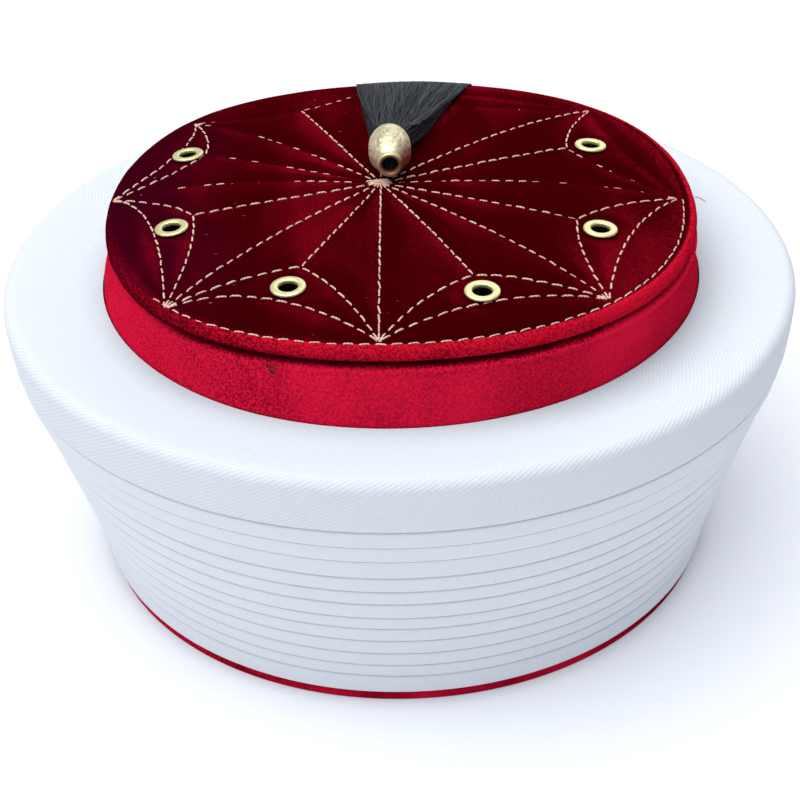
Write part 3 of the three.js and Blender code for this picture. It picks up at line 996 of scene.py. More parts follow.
@dataclass
class VelvetCrown:
    """Velvet wall and quilted velvet top of the fez."""

    crown: CrownForm
    star: StarStitching
    eyelet_places: tuple[tuple[float, float], ...]
    steps: int = 360
    hem_chamfer: float = 0.4
    shoulder: float = 2.4
    shoulder_depth: float = 2.2
    ridge_turn: float = math.radians(-46.0)
    ridge_height: float = 102.2
    ridge_rise: float = 1.3
    crease_turn: float = math.radians(228.0)
    crease_depth: float = 1.6
    top_thickness: float = 4.2
    seat_width: float = 2.5
    under_radii: tuple[float, ...] = (0.0, 20.0, 40.0, 58.0, 70.0, 78.3)
    roll_points: tuple[tuple[float, float], ...] = (
        (84.3, 104.32),
        (85.6, 104.5),
        (86.4, 105.2),
        (86.7, 106.0),
        (86.75, 106.8),
        (86.6, 107.6),
        (86.25, 108.3),
        (85.7, 108.8),
        (85.1, 109.0),
        (84.6, 108.9),
        (84.2, 108.72),
        (83.7, 108.85),
    )
    ring_step: float = 1.15
    puff: float = 0.95
    puff_reach: float = 3.6
    hole_radius: float = 3.3
    hole_depth: float = 16.0
    eyelet_reach: float = 5.2
    eyelet_fade: float = 5.0

    def wall_outline(self) -> Outline:
        """Returns the wall's closed outline, with a soft shoulder under the rolled edge."""
        crown = self.crown
        inside = [(crown.radius(z) - crown.felt, z) for z in (crown.wall_height - 1.0, crown.band_height)]
        outside = [(crown.radius(z), z) for z in np.linspace(70.0, crown.wall_height - self.shoulder, 44)]
        turn = np.linspace(0.0, math.pi / 2, 8)[1:]
        top = crown.wall_height
        edge = crown.radius(top - self.shoulder)
        bend = [
            (edge - self.shoulder_depth * (1 - math.cos(a)), top - self.shoulder * (1 - math.sin(a)))
            for a in turn
        ]
        hem = [
            (crown.base_radius - crown.felt, self.hem_chamfer),
            (crown.base_radius - crown.felt + self.hem_chamfer, 0.0),
            (crown.base_radius - self.hem_chamfer, 0.0),
            (crown.base_radius - 0.1, self.hem_chamfer / 2),
            (crown.base_radius, self.hem_chamfer * 1.5),
            (crown.radius(3.0), 3.0),
        ]
        return [*hem, *outside, *bend, *inside, hem[0]]

    def build_wall(self) -> bpy.types.Object:
        """Models the wall, its soft ridge under the roll and its lining."""
        crown = self.crown
        outline = self.wall_outline()
        piece = turned("velvet_wall", outline, self.steps, 60.0)
        wrap_uv(piece, outline)

        def soften(points: np.ndarray) -> np.ndarray:
            """Adds the ridge under the roll and slow waves, then the sewn form."""
            x, y, z = points.T
            angle, radius = np.arctan2(y, x), np.hypot(x, y)
            right = smooth_step(-0.1, 0.8, np.cos(angle - self.ridge_turn))
            left = smooth_step(0.1, 0.9, np.cos(angle - self.crease_turn))
            ridge = self.ridge_rise * np.exp(-((z - self.ridge_height) / 1.0) ** 2) * right
            tucked = self.crease_depth * smooth_step(100.8, 103.0, z) * left
            drawn = crown.left_pull(angle) * smooth_step(76.0, 82.0, z)
            waves = 0.35 * ripple(angle, z, 5, (3, 5, 8, 13), 9.0) * np.exp(-((z - 98) / 8) ** 2)
            factor = 1 + (ridge - tucked - drawn + waves * smooth_step(84.0, 92.0, z)) / radius
            return crown.sewn(np.stack((x * factor, y * factor, z), axis=1))

        points = points_of(piece)
        reach = np.hypot(points[:, 0], points[:, 1])
        middle = np.array([crown.radius(z) - crown.felt / 2 for z in points[:, 2]])
        paint(piece, "lining", 1 - smooth_step(-0.6, 0.6, reach - middle))
        angle = np.arctan2(points[:, 1], points[:, 0])
        left_front = 0.5 + 0.5 * np.cos(angle + math.radians(115))
        height = points[:, 2]
        hem = 1 - smooth_step(2.0, 6.0, height)
        right = smooth_step(0.0, 0.8, np.cos(angle - self.ridge_turn))
        left = smooth_step(-0.1, 0.6, np.cos(angle - self.crease_turn))
        tucked = smooth_step(101.4, 103.0, height) * left
        ridge = np.exp(-((height - self.ridge_height) / 0.6) ** 2) * right
        low_right = right * smooth_step(101.4, 100.2, height)
        # Painted light in the wall's tone: brighter towards the left front, a painted highlight along the
        # ridge under the roll, painted shade in the tuck under the roll on the left, and painted shade on
        # the hem, darker on the right.
        nap_and_painted_light = 0.72 + 0.06 * left_front + 0.6 * ridge - 0.75 * tucked + 0.02 * low_right
        paint(piece, "nap_and_painted_light", nap_and_painted_light - hem * (0.6 - 0.3 * left_front))
        paint(piece, "sleek", 0.55 * low_right)
        reshape(piece, soften)
        return enlist(piece, WALL_VELVET, "crown_wall")

    def lift(self, x: np.ndarray, y: np.ndarray) -> np.ndarray:
        """Returns how far the quilting lifts the velvet over the plain dome at plan points."""
        tree = self.star.tree()
        near = np.array([tree.find((a, b, 0.0))[2] for a, b in zip(x, y)])
        puffed = self.puff * (1 - np.exp(-near / self.puff_reach))
        for place in self.eyelet_places:
            hole_x, hole_y = polar(*place)
            away = np.hypot(x - hole_x, y - hole_y)
            puffed *= smooth_step(self.eyelet_reach, self.eyelet_reach + self.eyelet_fade, away)
        return puffed - self.star.valley

    def top_outline(self) -> Outline:
        """Returns the top panel's outline from its middle underneath to its middle above."""
        crown = self.crown
        under = [(r, float(crown.dome(r)) - self.top_thickness) for r in self.under_radii]
        seat = [(crown.top_radius - self.seat_width, crown.wall_height + GAP)]
        last = self.roll_points[-1][0]
        rings = np.linspace(last, 0.0, int(last / self.ring_step))[1:]
        dome = [(float(r), float(crown.dome(r))) for r in rings]
        return [*under, *seat, *self.roll_points, *dome]

    def build_top(self) -> bpy.types.Object:
        """Models the padded top with its roll, quilted puffs, painted highlights and painted shade on the
        pile, and eyelet holes.
        """
        crown = self.crown
        outline = self.top_outline()
        piece = turned("velvet_top", outline, self.steps, 60.0)
        wrap_uv(piece, outline)
        points = points_of(piece)
        radius = np.hypot(points[:, 0], points[:, 1])
        above = points[:, 2] > crown.dome(radius) - self.top_thickness / 2
        on_dome = above & (radius < self.roll_points[-1][0] - 0.1)
        reshape(piece, crown.sewn)
        shaped = points_of(piece)
        x, y = shaped[on_dome, 0], shaped[on_dome, 1]
        shaped[on_dome, 2] += self.lift(x, y)
        angle = np.arctan2(points[:, 1], points[:, 0])
        on_roll = smooth_step(84.6, 85.6, radius)
        lumps = 0.14 * ripple(angle, points[:, 2], 8, (7, 12, 19, 31, 47), 3.0) * on_roll
        shaped[:, :2] *= 1 + (lumps / np.maximum(radius, 1.0))[:, None]
        reshape(piece, lambda _: shaped)
        slopes = np.empty(3 * len(points))
        piece.data.vertex_normals.foreach_get("vector", slopes)
        # Painted highlight on the puff slopes that face right and back, and painted shade on those that face
        # away.
        lit = np.clip(slopes.reshape(-1, 3) @ np.array((0.75, 0.55, 0.0)), -0.2, 0.3) * on_dome
        roll = smooth_step(84.0, 85.2, radius)
        # Brighter towards the right edge of the top.
        brighter_right_edge = smooth_step(66, 82, radius) * np.clip(np.cos(angle - math.radians(12)), 0, 1) ** 2
        # Painted shade on the roll's left side and on its underside, and a painted highlight on its right
        # side.
        left_roll = smooth_step(0.1, 0.7, np.cos(angle - math.radians(165)))
        right_roll = smooth_step(-0.2, 0.9, np.cos(angle - math.radians(-30)))
        under = smooth_step(106.6, 105.0, points[:, 2]) * (1 - 0.7 * right_roll)
        roll_nap_and_painted_light = roll * (0.6 - 0.44 * left_roll + 0.3 * right_roll - 0.4 * under)
        paint(piece, "nap_and_painted_light", np.maximum(roll_nap_and_painted_light, 0.12 + 0.05 * brighter_right_edge + 0.7 * lit))
        cool = smooth_step(0.5, 1.0, np.cos(angle - math.radians(185))) * smooth_step(45.0, 75.0, radius)
        paint(piece, "cool", 0.6 * cool)
        paint(piece, "sleek", 0.18 * (1 - roll))
        paint(piece, "lining", np.where(above | (radius > crown.stitch_radius), 0.0, 1.0))
        self.punch(piece)
        return enlist(piece, TOP_VELVET, "crown_top")

    def punch(self, piece: bpy.types.Object) -> None:
        """Cuts the eyelet holes through the top."""
        bpy.ops.object.select_all(action="DESELECT")
        cutters = []
        for angle_deg, radius in self.eyelet_places:
            x, y = polar(angle_deg, radius)
            tilt = self.crown.top_normal(x, y).to_track_quat("Z", "Y")
            centre = Vector((x, y, float(self.crown.top_height(x, y)))) * MM
            bpy.ops.mesh.primitive_cylinder_add(
                vertices=40,
                radius=self.hole_radius * MM,
                depth=self.hole_depth * MM,
                location=centre,
                rotation=tilt.to_euler(),
            )
            cutters.append(bpy.context.active_object)
        for cutter in cutters:
            cutter.select_set(True)
        bpy.ops.object.join()
        punch = bpy.context.active_object
        bpy.ops.object.select_all(action="DESELECT")
        piece.select_set(True)
        bpy.context.view_layer.objects.active = piece
        cut = piece.modifiers.new("eyelet_holes", "BOOLEAN")
        cut.operation = "DIFFERENCE"
        cut.solver = "EXACT"
        cut.object = punch
        bpy.ops.object.modifier_apply(modifier=cut.name)
        bpy.data.objects.remove(punch, do_unlink=True)


@dataclass
class LooseFibres:
    """A few loose fibres that hang on the velvet of the wall and the roll."""

    crown: CrownForm
    radii: tuple[float, ...] = (0.28, 0.22, 0.12, 0.12)
    fibres: tuple[tuple[tuple[float, float, float], ...], ...] = (
        ((247.2, 0.5, 103.6), (247.6, 0.7, 102.2), (248.2, 0.5, 100.4)),
        ((249.0, 0.5, 103.4), (248.6, 0.7, 102.0), (248.2, 0.5, 100.6)),
        ((359.2, 0.8, 106.2), (358.6, 1.9, 106.4), (357.6, 3.6, 105.9)),
        ((197.0, 0.2, 98.0), (195.5, 0.8, 96.0), (194.0, 1.6, 93.8)),
    )
    shades: tuple[float, ...] = (0.05, 0.1, 1.0, 0.3)
    band_reach: float = 87.5
    roll_reach: float = 86.6

    def build(self) -> bpy.types.Object:
        """Makes the fibres, placed by angle, distance from the crown and height, as one piece."""
        controls = np.array(self.fibres)
        angle = np.radians(controls[..., 0])
        height = controls[..., 2]
        heights = (self.crown.band_height, self.crown.wall_height)
        reach = np.interp(height, heights, (self.band_reach, self.roll_reach))
        reach = reach * self.crown.square_factor(angle) + controls[..., 1]
        x, y = reach * np.cos(angle), reach * np.sin(angle) - self.crown.top_forward
        paths = smooth_path(np.stack((x, y, height), axis=-1), 9)
        radii = np.repeat(np.array(self.radii)[:, None], paths.shape[1], axis=1)
        piece = tube_mesh("loose_fibres", paths, radii, 5, np.array(self.shades))
        return enlist(piece, LINT_FIBRE)


# Turban

@dataclass
class WoundTurban:
    """White cloth wound round the crown in shingled folds, and its wide last turn."""

    crown: CrownForm
    steps: int = 288
    folds: tuple[tuple[float, float], ...] = (
        (95.0, 3.6),
        (96.2, 10.7),
        (97.3, 15.6),
        (98.6, 21.0),
        (100.1, 26.7),
        (101.6, 32.2),
        (103.0, 37.1),
        (104.9, 43.4),
        (106.6, 49.0),
        (108.4, 55.0),
        (110.6, 62.0),
        (112.8, 68.1),
    )
    cover_edge: tuple[float, float] = (114.2, 73.9)
    side_radius: float = 115.1
    rim_height: float = 89.5
    rim_round: float = 3.2
    crown_height: float = 87.1
    cover_thickness: float = 1.4
    lip_round: float = 0.42
    slit_depth: float = 1.6
    slit_height: float = 0.5
    lap: float = 0.4
    face_bulge: float = 0.12
    face_points: int = 5
    arc_points: int = 12

    def lip(self, radius: float, height: float) -> Outline:
        """Returns the rounded lower edge of one fold, from its groove round to its face."""
        turn = np.radians((-130.0, -95.0, -60.0, -25.0, 5.0))
        middle = (radius - self.lip_round, height + self.lip_round)
        groove = (radius - self.slit_depth, height + self.slit_height / 2)
        return [groove, *arc(middle, self.lip_round, turn)]

    def face(self, low: tuple[float, float], high: tuple[float, float]) -> Outline:
        """Returns the softly rounded face of a fold between its lip and the next groove."""
        shares = np.linspace(0, 1, self.face_points + 2)[1:]
        swell = self.face_bulge * np.sin(math.pi * shares)
        return [
            (low[0] + (high[0] - low[0]) * share + bulge, low[1] + (high[1] - low[1]) * share)
            for share, bulge in zip(shares.tolist(), swell.tolist())
        ]

    def skin(self, depth: float) -> Outline:
        """Returns the cover's rounded rim at a depth under its outer face, from the side to the top."""
        centre = (self.side_radius - self.rim_round, self.rim_height - self.rim_round)
        turn = np.linspace(0, math.pi / 2, self.arc_points)
        return arc(centre, self.rim_round - depth, turn)

    def folds_outline(self) -> Outline:
        """Returns the closed outline of all the wound folds."""
        lining = self.cover_thickness + GAP
        outside: Outline = []
        for (radius, height), above in zip(self.folds, [*self.folds[1:], self.cover_edge]):
            lip = self.lip(radius, height)
            tuck = (above[0] - self.lap, above[1] - self.slit_height / 2)
            outside += [*lip, *self.face(lip[-1], tuck)]
        inner = [
            (self.crown.radius(z) + GAP, z)
            for z in (self.crown_height - lining, 60.0, 30.0, self.folds[0][1] + self.slit_height)
        ]
        behind = (self.cover_edge[0] - lining, self.cover_edge[1] + self.slit_height)
        return [*outside, behind, *self.skin(lining), *inner, outside[0]]

    def cover_outline(self) -> Outline:
        """Returns the closed outline of the last turn, with its lower edge rolled."""
        thick = self.cover_thickness
        inner_edge = self.crown.radius(self.crown_height - thick) + GAP
        edge_radius, edge_height = self.cover_edge
        low = thick / 2
        turn = np.radians((-150.0, -110.0, -70.0, -30.0, 0.0))
        lip = arc((edge_radius - low, edge_height + low), low, turn)
        outer = self.skin(0.0)
        side = self.face(lip[-1], outer[0])[:-1]
        top = self.ring_run(outer[-1], (inner_edge, self.crown_height), 16)
        back = self.ring_run((inner_edge, self.crown_height - thick), self.skin(thick)[-1], 6)
        corner = (inner_edge, self.crown_height - thick)
        return [*lip, *side, *outer, *top, corner, *back, *self.skin(thick)[::-1][1:], lip[0]]

    def ring_run(self, start: tuple[float, float], end: tuple[float, float], count: int) -> Outline:
        """Returns evenly spaced points after start, up to end."""
        shares = np.linspace(0, 1, count + 1)[1:].tolist()
        return [(start[0] + (end[0] - start[0]) * s, start[1] + (end[1] - start[1]) * s) for s in shares]

    def wavy(self, points: np.ndarray) -> np.ndarray:
        """Gives the folds the slight unevenness of cloth wound by hand."""
        x, y, z = points.T
        angle, radius = np.arctan2(y, x), np.hypot(x, y)
        free = smooth_step(2.0, 5.0, z) * smooth_step(0.6, 3.0, radius - np.interp(z, (0, 87), (94, 87.5)))
        fade = 1 - smooth_step(66.0, 73.0, z)
        rise = 0.1 * ripple(angle, z, 21, (2, 3, 5, 9, 14), 6.0)
        swell = 0.05 * ripple(angle, z, 22, (3, 6, 11, 17), 6.0)
        factor = 1 + swell * free * fade / radius
        return np.stack((x * factor, y * factor, z + rise * free * fade), axis=1)

    def hugging(self, points: np.ndarray) -> np.ndarray:
        """Draws the cloth's inner edge in with the crown's left side."""
        x, y, z = points.T
        radius = np.hypot(x, y)
        pull = self.crown.left_pull(np.arctan2(y, x)) * (1 - smooth_step(88.5, 100.0, radius))
        factor = 1 - pull / radius
        return np.stack((x * factor, y * factor, z), axis=1)

    def build_folds(self) -> bpy.types.Object:
        """Models the wound folds and dresses them."""
        outline = self.folds_outline()
        piece = turned("turban_folds", outline, self.steps, 80.0)
        wrap_uv(piece, outline)
        points = points_of(piece)
        lips = np.array([*self.folds, self.cover_edge])
        x, y, z = points.T
        recess = np.interp(z, lips[:, 1], lips[:, 0]) - np.hypot(x, y)
        below_cover = z < self.cover_edge[1] + 1
        # Painted shade deep in the grooves between the folds.
        paint(piece, "crease_shade", 0.9 * smooth_step(0.25, 1.0, recess) * below_cover)
        reshape(piece, self.wavy)
        return enlist(piece, FOLD_COTTON, "turban_wrap")

    def build_cover(self) -> bpy.types.Object:
        """Models the last turn and dresses it."""
        outline = self.cover_outline()
        piece = turned("turban_cover_cloth", outline, self.steps, 80.0)
        wrap_uv(piece, outline)
        reshape(piece, self.hugging)
        return enlist(piece, COVER_TWILL, "turban_cover")


# Eyelets

@dataclass
class BrassEyelets:
    """Rolled brass eyelets through the top, modelled once and copied."""

    crown: CrownForm
    places: tuple[tuple[float, float], ...]
    steps: int = 48
    hole_radius: float = 2.65
    barrel_radius: float = 3.1
    flange_radius: float = 4.7
    flange_height: float = 0.6
    clinch_radius: float = 3.9
    clinch_height: float = 0.6
    panel_thickness: float = 4.2

    def outline(self) -> Outline:
        """Returns the closed outline of one eyelet on the panel's face, from its flange down its bore."""
        roll = (self.flange_radius - self.hole_radius) / 2
        middle = self.hole_radius + roll
        turn = np.radians(np.linspace(0, 180, 15))
        crest = np.sin(turn) ** 0.45
        flange = [
            (middle + roll * math.cos(a), GAP + 0.1 + self.flange_height * rise)
            for a, rise in zip(turn.tolist(), crest.tolist())
        ]
        back = -self.panel_thickness - GAP
        clinch = [
            (self.hole_radius, back - self.clinch_height * 0.6),
            (self.hole_radius + 0.3, back - self.clinch_height),
            (self.clinch_radius - 0.2, back - self.clinch_height),
            (self.clinch_radius, back - self.clinch_height * 0.5),
            (self.barrel_radius, back),
        ]
        bore = (self.hole_radius, -0.3)
        under_flange = [(self.barrel_radius, GAP), (self.flange_radius - 0.15, GAP)]
        return [*flange, bore, *clinch, *under_flange, flange[0]]

    def build(self) -> list[bpy.types.Object]:
        """Models one eyelet, copies it to every place and dresses the copies."""
        model = turned("brass_eyelet", self.outline(), self.steps, 50.0)
        points = points_of(model)
        # Painted shade: everything under the flange's face, the bore among it, takes the near-black low
        # tone.
        paint(model, "tarnish_and_shade", 1 - smooth_step(-0.3, 0.35, points[:, 2]))
        made = []
        for i, (angle_deg, radius) in enumerate(self.places, start=1):
            x, y = polar(angle_deg, radius)
            copy = bpy.data.objects.new(f"brass_eyelet_{i}", model.data.copy())
            copy.data.name = copy.name
            bpy.context.collection.objects.link(copy)
            tilt = self.crown.top_normal(x, y).to_track_quat("Z", "Y").to_matrix().to_4x4()
            place = Vector((x, y, float(self.crown.top_height(x, y)))) * MM
            copy.data.transform(Matrix.Translation(place) @ tilt)
            made.append(enlist(copy, EYELET_BRASS, f"eyelet_{i}"))
        bpy.data.objects.remove(model, do_unlink=True)
        return made


# Tassel

@dataclass
class GiltBead:
    """Cast bell-shaped bead with a collar, a bore and raised scrolls."""

    crown: CrownForm
    x: float = -1.6
    front: float = -3.0
    length: float = 17.0
    body_radius: float = 6.0
    boss_rise: float = 0.4
    boss_along: float = 10.6
    bore_radius: float = 2.4
    cup_radius: float = 4.6
    cup_depth: float = 7.0
    steps: int = 168
    rows: int = 80
    cells: int = 6
    relief: float = 0.24
    outline_points: tuple[tuple[float, float], ...] = (
        (3.6, 0.0),
        (3.85, 0.6),
        (3.8, 1.4),
        (3.3, 2.5),
        (4.0, 3.6),
        (5.0, 4.7),
        (5.75, 6.8),
        (6.0, 9.0),
        (6.0, 12.6),
        (5.8, 15.0),
        (5.4, 17.0),
    )

    def axis_height(self) -> float:
        """Returns the height of the bead's axis."""
        seat = float(self.crown.top_height(self.x, self.front + self.boss_along))
        return seat + GAP + self.body_radius + self.boss_rise

    def rear(self) -> float:
        """Returns where the bead ends behind."""
        return self.front + self.length

    def outline(self) -> Outline:
        """Returns the bead's closed outline as (radius, along) points."""
        controls = np.array([[(radius, along, 0.0) for radius, along in self.outline_points]])
        outside = [(float(r), float(a)) for r, a, _ in smooth_path(controls, self.rows)[0]]
        bottom = self.length - self.cup_depth
        inside = [
            (self.cup_radius + 0.25, self.length - 0.1),
            (self.cup_radius, self.length - 0.5),
            (self.cup_radius, bottom),
            (self.bore_radius, bottom),
            (self.bore_radius, 0.4),
            (self.bore_radius + 0.3, 0.0),
        ]
        return [*outside, *inside, outside[0]]

    def ornament(self, angle: np.ndarray, along: np.ndarray) -> np.ndarray:
        """Returns the height of the raised scrolls, leaves and ropes, from 0 to about 1."""
        cell = np.mod(angle / math.tau * self.cells, 1.0) - 0.5
        side, run = cell / 0.46, (along - self.boss_along) / 4.6
        away = np.hypot(side, run)
        frame_ring = np.exp(-((away - 0.86) / 0.11) ** 2)
        swirl = np.arctan2(run, side)
        scroll = np.exp(-(np.sin(swirl + 5.6 * away) / 0.55) ** 2) * (1 - smooth_step(0.6, 0.75, away))
        boss = np.exp(-(away / 0.2) ** 2)
        leaf_side = np.mod(cell + 1.0, 1.0) - 0.5
        leaves = np.exp(-(leaf_side / 0.09) ** 2) * np.exp(-((np.abs(run) - 0.8) / 0.3) ** 2)
        rope = (0.6 + 0.4 * np.sin(26 * angle + 2.4 * along)) * np.exp(-((along - 15.9) / 0.55) ** 2)
        petals = np.abs(np.cos(self.cells * angle)) * np.exp(-((along - 4.9) / 0.7) ** 2)
        body = smooth_step(5.4, 6.4, along) * (1 - smooth_step(14.6, 15.2, along))
        raised = np.maximum.reduce((frame_ring, scroll, boss, 0.8 * leaves))
        return body * raised + 0.7 * rope + 0.6 * petals

    def build(self) -> bpy.types.Object:
        """Models the bead, raises its ornament and lays it on the panel."""
        piece = turned("gilt_bead", self.outline(), self.steps, 70.0)
        points = points_of(piece)
        angle, radius = np.arctan2(points[:, 1], points[:, 0]), np.hypot(points[:, 0], points[:, 1])
        profile = np.array(self.outline_points)
        outside = radius > np.interp(points[:, 2], profile[:, 1], profile[:, 0]) - 0.35
        raised = np.where(outside, self.ornament(angle, points[:, 2]), 0.0)
        along = points[:, 2]
        engraved = np.exp(-((raised - 0.4) / 0.2) ** 2) * smooth_step(2.2, 5.0, along)
        # Painted warm shade on the bead's lower right side.
        low_right = smooth_step(0.4, 0.95, np.cos(angle - math.radians(14))) * smooth_step(15.0, 6.0, along)
        collar = smooth_step(4.6, 2.2, along)
        tone = np.where(outside, 0.34 * engraved + 0.8 * low_right + 0.2 * collar, 0.8)
        paint(piece, "tarnish_and_shade", np.clip(tone, 0, 1))
        base = self.relief * 0.45

        def lay(rows: np.ndarray) -> np.ndarray:
            """Raises the ornament and turns the bead's axis from Z to Y."""
            factor = 1 + np.where(outside, self.relief * raised - base, 0.0) / radius
            x, y, z = rows[:, 0] * factor, rows[:, 1] * factor, rows[:, 2]
            return np.stack((self.x + x, self.front + z, self.axis_height() - y), axis=1)

        reshape(piece, lay)
        return enlist(piece, BEAD_GILT, "tassel_bead")


@dataclass
class TasselThreads:
    """Black threads that leave the bead's cup, fan out over the top and hang over its back edge."""

    crown: CrownForm
    bead: GiltBead
    threads: int = 760
    core_threads: int = 60
    clumps: int = 70
    thread_radius: float = 0.25
    path_points: int = 17
    left_edge_deg: float = 98.0
    right_edge_deg: float = 72.6
    roll_radius: float = 86.6
    edge_round: float = 3.2
    bundle_radius: float = 4.0
    hang: tuple[float, float] = (10.5, 16.0)
    stations: tuple[tuple[float, float, float], ...] = (
        (0.06, 7.0, 2.0),
        (0.16, 5.9, 0.8),
        (0.32, 4.2, 0.2),
        (0.55, 2.6, 0.0),
        (0.75, 1.3, 0.0),
        (0.92, 0.4, 0.0),
    )
    edge_layer: float = 0.5
    edge_lift: float = 0.2

    def controls(self) -> tuple[np.ndarray, np.ndarray]:
        """Returns the threads' control points, (threads, controls, 3), and how high each lies, 0 to 1."""
        draw = np.random.default_rng(3)
        count = self.threads
        clump = draw.integers(0, self.clumps, count)
        clump_side = (clump + draw.uniform(0, 1, self.clumps)[clump]) / self.clumps
        side = np.clip(clump_side + draw.normal(0, 0.01, count), 0, 1)
        layer = draw.uniform(0, 1, count)
        stray = draw.uniform(0, 1, count) < 0.02
        side = np.where(stray, draw.uniform(-0.025, 1.015, count), side)
        start_side = np.clip(side + draw.normal(0, 0.2, count), 0, 1)
        angle = np.radians(blend(self.left_edge_deg, self.right_edge_deg, side))
        reach = self.roll_radius * self.crown.square_factor(angle)
        edge_x, edge_y = reach * np.cos(angle), reach * np.sin(angle)
        start_x = self.bead.x + self.bundle_radius * 0.95 * (2 * start_side - 1)
        spread = np.sqrt(np.clip(1 - (2 * start_side - 1) ** 2, 0.05, 1))
        start_z = self.bead.axis_height() + self.bundle_radius * 0.9 * (2 * layer - 1) * spread
        rear = self.bead.rear()
        rows = [np.stack((start_x * 0.9 + self.bead.x * 0.1, np.full(count, rear - 5.0), start_z), axis=1)]
        rows.append(np.stack((start_x, np.full(count, rear - 0.4), start_z), axis=1))
        wave, pace = draw.uniform(0, math.tau, count), draw.uniform(4.0, 11.0, count)
        for share, height, rise in self.stations:
            sway = 0.9 * np.sin(wave + pace * share) * math.sin(math.pi * share) ** 0.5
            x = blend(start_x, edge_x, share**0.9) + sway
            y = blend(rear - 0.4, edge_y, share)
            z = self.crown.top_height(x, y) + GAP + rise + self.thread_radius + layer * height
            rows.append(np.stack((x, y, z), axis=1))
        edge_top = self.crown.edge_height - self.crown.drop(edge_y)
        lift = self.edge_lift + layer * self.edge_layer * np.sin(math.pi * np.clip(side, 0.08, 0.92))
        for degrees in (68.0, 35.0, 2.0):
            turn = math.radians(degrees)
            out = reach - self.edge_round + (self.edge_round + lift) * math.cos(turn)
            z = edge_top - self.edge_round + (self.edge_round + lift) * math.sin(turn)
            rows.append(np.stack((out * np.cos(angle), out * np.sin(angle), z), axis=1))
        drop = draw.uniform(*self.hang, count)
        for share in (0.6, 1.0):
            out = reach + lift + draw.normal(0, 0.25, count) * share
            turned_angle = angle + draw.normal(0, 0.006, count) * share
            z = edge_top - share * drop
            rows.append(np.stack((out * np.cos(turned_angle), out * np.sin(turned_angle), z), axis=1))
        return np.stack(rows, axis=1), layer

    def core(self) -> np.ndarray:
        """Returns the points of the short threads that show in the bead's bore."""
        draw = np.random.default_rng(6)
        count = self.core_threads
        turn = draw.uniform(0, math.tau, count)
        reach = (self.bead.bore_radius - 0.5) * np.sqrt(draw.uniform(0, 1, count))
        share = np.linspace(0, 1, self.path_points)[None, :]
        start = self.bead.front + draw.uniform(0.7, 2.2, count)[:, None]
        x = self.bead.x + (reach * np.cos(turn))[:, None] + 0.1 * np.sin(9 * share + turn[:, None])
        y = blend(start, self.bead.rear() - self.bead.cup_depth + 1.0, share)
        z = self.bead.axis_height() + (reach * np.sin(turn))[:, None] + 0 * share
        return np.stack((x, y, z), axis=2)

    def build(self) -> bpy.types.Object:
        """Makes all threads as one piece and dresses it."""
        draw = np.random.default_rng(4)
        controls, layer = self.controls()
        paths = np.concatenate((smooth_path(controls, self.path_points), self.core()))
        thickness = self.thread_radius * draw.uniform(0.85, 1.15, (len(paths), 1))
        radii = np.repeat(thickness, self.path_points, axis=1)
        radii[:, -1] *= 0.6
        shades = np.clip(draw.normal(0.16, 0.16, len(paths)), 0, 1)
        pale = draw.uniform(0, 1, len(paths)) < 0.12
        shades[pale] = draw.uniform(0.5, 1.0, pale.sum())
        # Painted shade: threads low in the fan and those in the bead's bore are darker.
        shades *= 0.25 + 0.75 * np.append(layer, np.full(self.core_threads, 0.4))
        piece = tube_mesh("tassel_threads", paths, radii, 6, shades)
        return enlist(piece, TASSEL_THREAD, "tassel_skirt")


# Stage

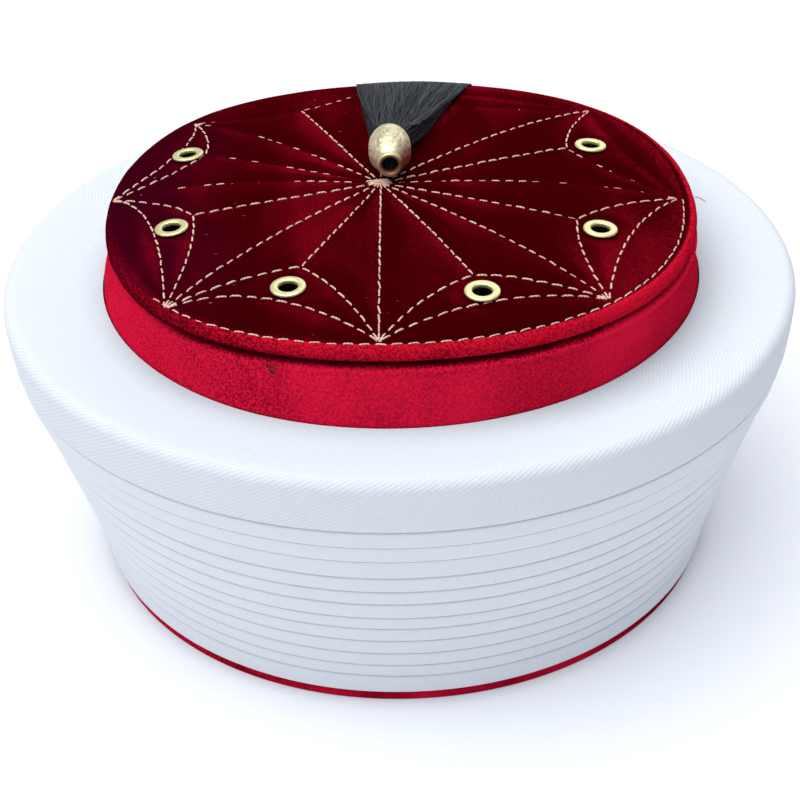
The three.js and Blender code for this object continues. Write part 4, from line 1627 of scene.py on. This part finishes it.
@dataclass
class Studio:
    """White floor, soft light and a camera at the photograph's angle."""

    lens_mm: float = 76.5
    sensor_mm: float = 36.0
    camera_place: tuple[float, float, float] = (-0.7, -442.0, 330.0)
    camera_right: tuple[float, float, float] = (0.99959, -0.0159, -0.0240)
    camera_up: tuple[float, float, float] = (0.0288, 0.5514, 0.8336)
    floor_size_m: float = 8.0
    world_colour: Colour = (222, 230, 255)
    world_strength: float = 0.22
    key_power: float = 42.5
    key_size_m: float = 2.2
    key_place_m: tuple[float, float, float] = (-0.35, -0.25, 1.7)
    key_colour: tuple[float, float, float] = (0.97, 1.0, 0.985)
    rear_power: float = 5.0
    rear_size_m: float = 1.4
    rear_place_m: tuple[float, float, float] = (0.55, 1.5, 1.0)

    def build_camera(self) -> None:
        """Adds the camera and makes it the scene's."""
        lens = bpy.data.cameras.new("photo_camera")
        lens.lens = self.lens_mm
        lens.sensor_width = self.sensor_mm
        lens.clip_start = 0.01
        holder = bpy.data.objects.new("photo_camera", lens)
        bpy.context.collection.objects.link(holder)
        right = Vector(self.camera_right).normalized()
        up = Vector(self.camera_up)
        up = (up - right * up.dot(right)).normalized()
        turn = Matrix((right, up, right.cross(up))).transposed().to_4x4()
        holder.matrix_world = Matrix.Translation(Vector(self.camera_place) * MM) @ turn
        bpy.context.scene.camera = holder

    def build_floor(self) -> None:
        """Adds the floor."""
        bpy.ops.object.select_all(action="DESELECT")
        bpy.ops.mesh.primitive_plane_add(size=self.floor_size_m)
        floor = bpy.context.active_object
        floor.name = "studio_floor"
        floor.data.materials.append(PaleFloor().material())

    def softbox(self, name: str, place_m: tuple[float, float, float], size_m: float, power: float) -> None:
        """Adds one square soft light that looks at the hat.

        Args:
            name: Name of the light.
            place_m: Its place, in metres.
            size_m: Length of its side, in metres.
            power: Its power, in watts.
        """
        lamp = bpy.data.lights.new(name, "AREA")
        lamp.energy = power
        lamp.size = size_m
        lamp.color = self.key_colour
        holder = bpy.data.objects.new(name, lamp)
        bpy.context.collection.objects.link(holder)
        holder.location = place_m
        aim = Vector((0.0, 0.0, 0.05)) - holder.location
        holder.rotation_euler = aim.to_track_quat("-Z", "Y").to_euler()

    def build_light(self) -> None:
        """Adds the soft lights and the sky."""
        self.softbox("overhead_softbox", self.key_place_m, self.key_size_m, self.key_power)
        self.softbox("rear_softbox", self.rear_place_m, self.rear_size_m, self.rear_power)
        world = bpy.data.worlds.new("studio_world")
        world.use_nodes = True
        sky = world.node_tree.nodes["Background"]
        sky.inputs["Color"].default_value = tint(self.world_colour)
        sky.inputs["Strength"].default_value = self.world_strength
        bpy.context.scene.world = world
        bpy.context.scene.view_settings.view_transform = "Standard"


def main() -> None:
    """Builds the stage, the crown, the turban and the trimmings in order."""
    logging.basicConfig(level=logging.INFO, format="%(name)s: %(message)s")
    studio = Studio()
    studio.build_camera()
    crown = CrownForm()
    star = StarStitching(crown)
    velvet = VelvetCrown(crown, star, EYELET_PLACES)
    velvet.build_wall()
    velvet.build_top()
    star.build()
    LooseFibres(crown).build()
    turban = WoundTurban(crown)
    turban.build_folds()
    turban.build_cover()
    BrassEyelets(crown, EYELET_PLACES).build()
    bead = GiltBead(crown)
    bead.build()
    TasselThreads(crown, bead).build()
    studio.build_floor()
    studio.build_light()


if __name__ == "__main__":
    main()
